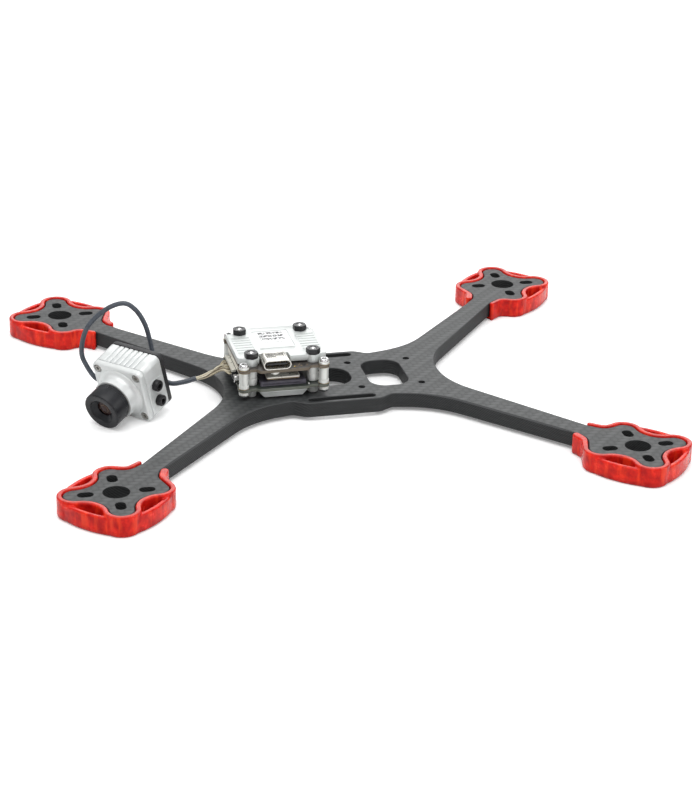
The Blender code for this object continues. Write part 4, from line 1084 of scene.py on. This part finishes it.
def make_usb():
    """Drawn metal shell with a rolled mouth, tongue with contacts, spring windows on top."""
    low, high = cad("usb_shell")
    middle = Vector((low.x, (low.y + high.y) / 2, (low.z + high.z) / 2))
    length = high.x - low.x
    width, height = high.y - low.y, high.z - low.z
    work = bmesh.new()
    rings = []
    for out, z in ((0.06, 0.0), (0.0, 0.15), (0.0, length - 0.12), (0.06, length - 0.02), (0.16, length),
                   (0.30, length - 0.03), (0.36, length - 0.15), (0.36, 0.6)):
        loop = slot_outline((0, 0), width - 2 * out, height - 2 * out, True, 16)
        rings.append([work.verts.new((x, y, z)) for x, y in loop])
    bridge(work, rings)
    work.faces.new(list(reversed(rings[0])))
    work.faces.new(rings[-1])
    shell = finish_mesh("usb_shell_drawn", work)
    windows = [(-3.1 + 1.02 * index, -2.55 + 1.02 * index, height / 2 - 0.12, height, 0.8,
                1.02) for index in range(7)]
    shell = cut_boxes("usb_shell_windows", shell, windows)
    turn = Matrix(((0, 0, 1, 0), (1, 0, 0, 0), (0, 1, 0, 0), (0, 0, 0, 1)))
    place = at(*middle) @ turn
    piece("usb_shell_drawn", shell, "nickel", "frame", ["usb_shell"], place)
    tongue = slab("usb_tongue_blade", box_outline(3.35, 0.34, 0.15), 0.7, length - 0.9, 0.08)
    piece("usb_tongue_blade", tongue, "black", "frame", ["usb_tongue"], place)
    contacts = bmesh.new()
    for index in range(12):
        x = -2.75 + 0.5 * index
        for y in (-0.385, 0.345):
            outline = [(x - 0.12, y), (x + 0.12, y), (x + 0.12, y + 0.04), (x - 0.12, y + 0.04)]
            add_slab(contacts, [(outline, 1.6), (outline, length - 1.3)])
    piece("usb_contacts", finish_mesh("usb_contacts", contacts), "gold", "frame", (), place)


# ---- camera --------------------------------------------------------------------------
def camera_place():
    """Camera axes from its joints: X to its right seen from the front, Y up, Z out of the lens."""
    turn = joints["focus_turn"]
    forward = Vector(turn["axis"]).normalized()
    right = -Vector(joints["camera_rock"]["axis"]).normalized()
    rise = forward.cross(right)
    return Matrix.Translation(Vector(turn["pos_m"])) @ Matrix((right, rise, forward)).transposed().to_4x4()


CAMERA = camera_place()
CAMERA_HALF = 9.6
CAMERA_CORNER = 1.8
SCREW_OFFSET = 7.45
BODY_BACK = -10.4
COVER_BACK = -12.3
CABLE_EXIT = (-4.6, -4.2)


def scalloped_square(half, corner, groove, depth):
    """Rounded square whose top side carries rounded ribs."""
    pitch = 1.87
    outline = rounded([(half, -half, corner), (half, half, corner)], closed=False, arc_step=9)
    lower = arc((half - corner, -half + corner), corner, -90, 0, 10)
    upper = arc((half - corner, half - corner), corner, 0, 90, 10)
    left_upper = arc((-half + corner, half - corner), corner, 90, 180, 10)
    left_lower = arc((-half + corner, -half + corner), corner, 180, 270, 10)
    ribs = []
    samples = 12 * 16
    for index in range(1, samples):
        x = 7.5 - 15.0 * index / samples
        phase = (x + pitch / 2) % pitch - pitch / 2
        inside = abs(x) < 3.5 * pitch
        dip = depth * math.exp(-(phase / groove) ** 2) if inside else 0.0
        crown = 0.10 * (1 - (abs(abs(phase) - pitch / 2) / (pitch / 2)) ** 2) if inside else 0.0
        ribs.append((x, half - dip - 0.10 + crown if inside else half - 0.02))
    return lower + upper + ribs + left_upper + left_lower


def in_camera(name, mesh, look, body="camera", nodes=(), move=None):
    place = CAMERA @ move if move is not None else CAMERA
    return piece(name, mesh, look, body, nodes, place)


def make_front_housing():
    square = box_outline(CAMERA_HALF, CAMERA_HALF, CAMERA_CORNER, arc_step=9)
    work = bmesh.new()

    def inset(size):
        return moved_aside(square, -size, True)

    levels = [(inset(0.15), -2.0), (inset(0.02), -1.85), (inset(0.0), -0.85), (inset(0.10), -0.45),
              (inset(0.30), -0.16), (inset(0.6), 0.0)]
    seats = []
    for sx, sy in CORNERS:
        centre = (sx * SCREW_OFFSET, sy * SCREW_OFFSET)
        seats.append([(circle(centre, 0.95, 28), -2.0), (circle(centre, 0.95, 28), -0.95),
                      (circle(centre, 1.42, 28), -0.949), (circle(centre, 1.42, 28), -0.12),
                      (circle(centre, 1.56, 28), 0.0)])
    bore = [(circle((0, 0), 6.0, 64), -2.0), (circle((0, 0), 6.0, 64), 4.05), (circle((0, 0), 6.12, 64), 4.2),
            (circle((0, 0), 6.8, 64), 4.2), (circle((0, 0), 6.95, 64), 4.05), (circle((0, 0), 6.95, 64), 2.3),
            (circle((0, 0), 7.05, 64), 1.6), (circle((0, 0), 7.30, 64), 0.98),
            (circle((0, 0), 7.72, 64), 0.52),
            (circle((0, 0), 8.20, 64), 0.30), (circle((0, 0), 8.34, 64), 0.22),
            (circle((0, 0), 8.40, 64), 0.0)]
    add_slab(work, levels, [*seats, bore])
    in_camera("camera_front_plate", finish_mesh("camera_front_plate", work), "shell", "camera",
              ["camera_front_housing"])


def make_rear_housing():
    front = -2.0 - 0.14
    ribbed = scalloped_square(CAMERA_HALF, CAMERA_CORNER, 0.17, 0.42)
    work = bmesh.new()
    hollow = box_outline(8.2, 8.2, 3.0)
    screws = [circle((sx * SCREW_OFFSET, sy * SCREW_OFFSET), 0.95, 20) for sx, sy in CORNERS]
    levels = [(moved_aside(ribbed, -0.14, True), BODY_BACK), (ribbed, BODY_BACK + 0.14),
              (ribbed, front - 0.14),
              (moved_aside(ribbed, -0.14, True), front)]
    add_slab(work, levels, [[(hole, BODY_BACK), (hole, front)] for hole in (hollow, *screws)])
    mesh = finish_mesh("camera_body_shell", work, 50)
    in_camera("camera_body_shell", mesh, "shell", "camera", ["camera_rear_housing"])
    pad = rounded([(-2.9, 3.9, 1.9), (-9.9, 2.9, 0.8), (-9.9, -7.0, 1.9), (-2.9, -7.0, 1.9)][::-1],
                  arc_step=12)
    pad = [(-x, y) for x, y in pad][::-1]
    for side, sign in (("left", 1), ("right", -1)):
        plate = bmesh.new()
        add_slab(plate, [(pad, -0.3), (pad, 0.14), (moved_aside(pad, -0.12, True), 0.26)])
        turn = Matrix(((0, 0, 1, 0), (0, 1, 0, 0), (-1, 0, 0, 0), (0, 0, 0, 1)))
        mesh = finish_mesh("camera_side_pad_" + side, plate)
        mesh.transform(Matrix.Translation((CAMERA_HALF * MM, 0, 0)) @ turn)
        mesh.transform(Matrix.Diagonal((sign, 1, 1, 1)))
        if sign < 0:
            mesh.flip_normals()
        in_camera("camera_side_pad_" + side, mesh, "shell", "camera", ())


def make_back_cover():
    square = box_outline(CAMERA_HALF, CAMERA_HALF, CAMERA_CORNER, arc_step=9)
    work = bmesh.new()
    levels = [(moved_aside(square, -0.5, True), COVER_BACK), (moved_aside(square, -0.14, True),
                                                              COVER_BACK + 0.14),
              (square, COVER_BACK + 0.5), (square, BODY_BACK - 0.22), (moved_aside(square, -0.12, True),
                                                                      BODY_BACK - 0.1)]
    holes = [[(circle(CABLE_EXIT, 1.17, 28), COVER_BACK), (circle(CABLE_EXIT, 1.05, 28),
                                                             COVER_BACK + 0.12),
              (circle(CABLE_EXIT, 1.05, 28), BODY_BACK - 0.1)]]
    add_slab(work, levels, holes)
    cover = finish_mesh("back_cover_raw", work)
    spans = []
    for index in range(7):
        x = -6.0 + 2.0 * index
        spans.append((x - 0.3, x + 0.3, 0.0, 7.2, COVER_BACK - 1, COVER_BACK + 0.3))
    cover = cut_boxes("camera_back_panel", cover, spans)
    in_camera("camera_back_panel", cover, "black", "camera", ["camera_back_cover"])
    boot = turned("cable_boot", [(0.82, -0.3), (1.03, -0.3), (1.04, 0.02), (1.5, 0.02), (1.5, 0.3),
                                 (1.2, 0.7),
                                 (1.0, 0.9), (0.82, 0.9)], 32, True)
    in_camera("cable_boot", boot, "black", "camera", (),
              Matrix.Translation(Vector((*CABLE_EXIT, COVER_BACK)) * MM) @ Matrix.Rotation(math.pi, 4, "X"))


def make_lens():
    radius = 6.45
    front = 10.6
    profile = [(3.0, -3.6), (5.6, -3.6), (5.75, -3.45)]
    z = -3.3
    while z < 4.3:
        profile += [(5.66, z), (5.76, z + 0.12)]
        z += 0.25
    profile += [(5.7, 4.6), (radius - 0.12, 4.6), (radius, 4.75), (radius, 5.5), (radius - 0.05, 5.56),
                (radius - 0.05, 5.68), (radius, 5.74), (radius, front - 0.5), (radius - 0.12, front - 0.2),
                (radius - 0.42, front), (4.45, front), (4.25, front - 0.08), (4.1, front - 0.35)]
    for step in range(7):
        depth = front - 0.42 - 0.18 * step
        profile += [(4.05 - 0.23 * step, depth), (3.90 - 0.23 * step, depth - 0.09)]
    profile += [(2.5, 8.98), (2.5, 8.88), (3.66, 8.86), (3.66, 8.0), (3.0, 8.0)]
    ring = turned("lens_barrel", profile, 96, True, 28)
    in_camera("lens_barrel", ring, "lens", "lens", ["lens_ring"])
    notches = bmesh.new()
    for index in range(2):
        angle = math.pi * index + 0.5
        centre = Vector((math.cos(angle), math.sin(angle))) * 5.2
        add_turned(notches, [(0, front - 0.02), (0.28, front - 0.02), (0.28, front + 0.03),
                             (0.2, front + 0.05),
                             (0, front + 0.05)], 16, place=(centre.x, centre.y, 0))
    in_camera("lens_marks", finish_mesh("lens_marks", notches), "lens", "lens", ())
    dome = [(0, 8.1), (3.55, 8.1), (3.58, 8.3)]
    rim_angle = 62
    dome_steps = 12
    for step in range(dome_steps + 1):
        angle = math.radians(rim_angle - rim_angle * step / dome_steps)
        rise = 1.2 * (math.cos(angle) - math.cos(math.radians(rim_angle)))
        dome.append((4.0 * math.sin(angle) * 0.86 if step < dome_steps else 0, 8.42 + rise))
    glass = turned("lens_front_glass", dome, 72, sharp_degrees=60)
    in_camera("lens_front_glass", glass, "glass", "lens_carrier", ["lens_glass"])
    seat = turned("lens_glass_ring", [(1.35, 8.9), (1.55, 8.86), (1.62, 8.94), (1.5, 9.02), (1.35, 9.04)], 72,
                  True)
    in_camera("lens_glass_ring", seat, "bronze", "lens_carrier", ())


def make_camera_screws():
    front = screw_mesh("camera_screw_mesh", 1.28, -0.8, -0.12, 0.75, -7.0, 0.55, 0.45)
    names = ("lower_left", "upper_left", "upper_right", "lower_right")
    for (sx, sy), name in zip(CORNERS, names):
        in_camera("camera_face_screw_" + name, front, "face_screw", "camera", ["camera_front_screw_" + name],
                  Matrix.Translation(Vector((sx * SCREW_OFFSET, sy * SCREW_OFFSET, 0)) * MM)
                  @ Matrix.Rotation(0.4 * sx + sy, 4, "Z"))
    side = cap_screw(CAMERA_HALF + 0.17, CAMERA_HALF + 2.0)
    for side_name, sign in (("left", 1), ("right", -1)):
        for height, level in ((1.7, "upper"), (-4.2, "lower")):
            move = Matrix.Translation(Vector((0, height, -5.7)) * MM) @ Matrix.Rotation(sign * math.pi / 2, 4,
                                                                                        "Y")
            in_camera(f"camera_cap_screw_{side_name}_{level}", side, "black_steel", "camera",
                      [f"camera_side_screw_{side_name}_{level}"],
                      move @ Matrix.Rotation(0.3 + height, 4, "Z"))


def cap_screw(low, high):
    """Socket head cap screw with fine knurling round its head."""
    work = bmesh.new()
    steps = 72
    socket = 0.85
    rings = []
    profile = [(0, CAMERA_HALF - 1.9), (0.8, CAMERA_HALF - 1.9), (0.8, low), (1.8, low), (1.85, low + 0.1),
               (1.85, high - 0.3), (1.75, high - 0.1), (1.55, high), (socket * 1.25, high)]
    for index, (r, z) in enumerate(profile):
        knurl = 0.07 if index in (4, 5) else 0.0
        rings.append([work.verts.new((0, 0, z))] if r == 0 else
                     add_ring(work, steps, z, lambda step, _: r - (knurl if step % 2 else 0.0)))
    for z in (high - 0.06, high - 0.95):
        rings.append(add_ring(work, steps, z, lambda _, angle: hexagon(socket, angle)))
    rings.append([work.verts.new((0, 0, high - 1.15))])
    bridge(work, rings)
    return finish_mesh("cap_screw_mesh", work)


def make_sensor():
    low, high = -8.6, -7.8
    work = bmesh.new()
    outline = rounded([(7.9, -3.5, 0.4), (7.9, 3.5, 0.4), (3.5, 7.9, 0.4), (-3.5, 7.9, 0.4), (-7.9, 3.5, 0.4),
                       (-7.9, -3.5, 0.4), (-3.5, -7.9, 0.4), (3.5, -7.9, 0.4)])
    add_slab(work, edge_levels(outline, low, high, 0.06))
    in_camera("sensor_panel", finish_mesh("sensor_panel", work), "lower_board", "camera",
              ["image_sensor_board"])
    chip_work = bmesh.new()
    add_slab(chip_work, edge_levels(box_outline(3.6, 3.0, 0.2), high, high + 0.9, 0.1))
    in_camera("sensor_chip", finish_mesh("sensor_chip", chip_work), "black", "camera", ())


# ---- cable ---------------------------------------------------------------------------
JACKET_LOOP = [(-12.6, -64.0, 6.2), (-14.6, -69.0, 4.0), (-15.0, -74.2, 5.0), (-15.5, -77.6, 10.0),
               (-15.7, -79.0, 15.2), (-15.3, -77.0, 23.2), (-13.8, -71.2, 29.5), (-12.3, -65.6, 31.9),
               (-11.3, -61.9, 29.8), (-10.6, -59.1, 25.0), (-10.1, -57.6, 19.3), (-8.9, -56.6, 13.5),
               (-5.6, -55.2, 8.9), (-1.6, -52.6, 7.6), (-0.3, -48.4, 8.2), (0.2, -44.4, 9.4)]
JACKET_RADIUS = 0.8


def make_jacket():
    exits = [CAMERA @ (Vector((*CABLE_EXIT, z)) * MM) / MM for z in (COVER_BACK + 0.9, COVER_BACK - 3.2)]
    steps = 8
    path = smooth_path([*exits, *JACKET_LOOP], steps)
    split = 5 * steps
    near = bmesh.new()
    add_tube(near, path[:split + 1], JACKET_RADIUS, 24)
    far = bmesh.new()
    add_tube(far, path[split:], JACKET_RADIUS, 24)
    near_mesh = finish_mesh("cable_jacket_near", near, 60)
    far_mesh = finish_mesh("cable_jacket_loop", far, 60)
    piece("cable_jacket_loop", far_mesh, "jacket", "cable", ["camera_cable"])
    item = bpy.data.objects.new("cable_jacket_near", near_mesh)
    near_mesh.materials.append(LOOKS["jacket"])
    bpy.context.scene.collection.objects.link(item)
    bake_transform(item)


def make_coax():
    """Fine wires that leave the jacket, spread and run into the socket on the lower board."""
    low, high = cad("camera_socket")
    draw = random.Random(3)
    middle = [(0.1, -45.6, 9.1, 0.45), (0.2, -44.0, 9.45, 0.5), (0.2, -41.6, 9.9, 0.8),
              (-0.2, -39.4, 10.6, 0.95),
              (-0.9, -37.4, 11.2, 1.0), (-1.7, -35.8, 11.5, 1.0)]
    count = 10
    for index in range(count):
        share = index / (count - 1)
        angle = 2 * math.pi * ((index * 3) % count) / count
        end = Vector((low.x + 0.7 + (high.x - low.x - 1.4) * share, low.y + 0.15, low.z + 1.3))
        points = []
        for step, (x, y, z, size) in enumerate(middle):
            turn = angle + 0.55 * step
            reach = 0.80 * size * (1.0 if index % 2 else 0.55)
            pull = max(0.0, (step - 3) * 0.22)
            points.append(Vector((x + reach * math.cos(turn), y, z + reach * math.sin(turn)))
                          .lerp(Vector((end.x, y, z + draw.uniform(-0.4, 0.4))), pull))
        points += [end + Vector((0, -1.0, 0.05)), end]
        work = bmesh.new()
        add_tube(work, smooth_path(points, 6), 0.235, 10)
        name = f"coax_wire_{index:02d}"
        item = bpy.data.objects.new(name, finish_mesh(name, work, 60))
        item.data.materials.append(COAX_TONES[index % len(COAX_TONES)])
        bpy.context.scene.collection.objects.link(item)
        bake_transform(item)
        if index == 0:
            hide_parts("coax_wires")


# ---- stage ---------------------------------------------------------------------------
SKY_LOW = 0.26
SKY_HIGH = 0.86
FLOOR_GLOW = 0.20


def make_stage():
    work = bmesh.new()
    half = 1500.0
    outline = rounded([(half, -half, 300.0), (half, half, 300.0), (-half, half, 300.0),
                       (-half, -half, 300.0)])
    add_slab(work, [(outline, -2.0), (outline, -0.02)])
    look = Look("floor_paper", (0.90, 0.90, 0.90), 0.6, 0.0, Specular_IOR_Level=0.25)
    tint = look.noise(0.02, 2.0)
    look.set("Base Color", look.mix(tint, (0.895, 0.898, 0.90), (0.915, 0.915, 0.915)))
    look.set("Emission Color", (1.0, 1.0, 1.0, 1.0))
    look.set("Emission Strength", look.times(look.add("LightPath", {}, "Is Camera Ray"), FLOOR_GLOW))
    floor = bpy.data.objects.new("floor", finish_mesh("floor", work))
    floor.data.materials.append(look.material)
    bpy.context.scene.collection.objects.link(floor)

    world = bpy.data.worlds.new("studio")
    bpy.context.scene.world = world
    world.use_nodes = True
    sky = world.node_tree.nodes["Background"]
    sky.inputs["Color"].default_value = (1.0, 1.0, 1.0, 1.0)
    seen = world.node_tree.nodes.new("ShaderNodeLightPath")
    direction = world.node_tree.nodes.new("ShaderNodeTexCoord")
    parts = world.node_tree.nodes.new("ShaderNodeSeparateXYZ")
    dome = world.node_tree.nodes.new("ShaderNodeMapRange")
    for key, value in (("From Min", 0.10), ("From Max", 0.70), ("To Min", SKY_LOW), ("To Max", SKY_HIGH)):
        dome.inputs[key].default_value = value
    strength = world.node_tree.nodes.new("ShaderNodeMapRange")
    strength.inputs["To Max"].default_value = 1.0
    world.node_tree.links.new(direction.outputs["Generated"], parts.inputs[0])
    world.node_tree.links.new(parts.outputs["Z"], dome.inputs["Value"])
    world.node_tree.links.new(dome.outputs[0], strength.inputs["To Min"])
    world.node_tree.links.new(seen.outputs["Is Camera Ray"], strength.inputs["Value"])
    world.node_tree.links.new(strength.outputs[0], sky.inputs["Strength"])
    for name, place, size, power in (("key", (0.25, -0.15, 0.75), 0.7, 4.0),
                                     ("back", (-0.75, 0.25, 0.55), 0.8, 3.6),
                                     ("side", (0.5, 0.75, 0.35), 0.5, 1.6)):
        data = bpy.data.lights.new(name, "AREA")
        data.shape = "SQUARE"
        data.size = size
        data.energy = power
        light = bpy.data.objects.new(name, data)
        light.location = place
        light.rotation_euler = (Vector((0, 0, 0)) - Vector(place)).to_track_quat("-Z", "Y").to_euler()
        bpy.context.scene.collection.objects.link(light)


def make_camera_view():
    """View direction, distance and lens of the reference view."""
    target = Vector((19.54, 1.66, 6.25)) * MM
    azimuth, elevation, roll = math.radians(75.91), math.radians(24.09), math.radians(1.20)
    distance = 0.6928
    back = Vector((math.sin(azimuth) * math.cos(elevation), -math.cos(azimuth) * math.cos(elevation),
                   math.sin(elevation)))
    right = Vector((math.cos(azimuth), math.sin(azimuth), 0))
    up = back.cross(right)
    axis_x = right * math.cos(roll) + up * math.sin(roll)
    axis_y = up * math.cos(roll) - right * math.sin(roll)
    data = bpy.data.cameras.new("view")
    data.lens = 98.1
    data.sensor_width = 36.0
    data.clip_start = 0.01
    view = bpy.data.objects.new("view", data)
    view.matrix_world = Matrix.Translation(target + back * distance) @ Matrix(
        (axis_x, axis_y, back)).transposed().to_4x4()
    bpy.context.scene.collection.objects.link(view)
    bpy.context.scene.camera = view
    bpy.context.scene.view_settings.view_transform = "Standard"
    bpy.context.scene.view_settings.look = "None"


make_plate()
make_guards()
make_boards()
make_small_parts()
make_columns()
make_top_heatsink()
make_bottom_heatsink()
make_board_blocks()
make_usb()
make_front_housing()
make_rear_housing()
make_back_cover()
make_lens()
make_camera_screws()
make_sensor()
make_jacket()
make_coax()
make_stage()
make_camera_view()
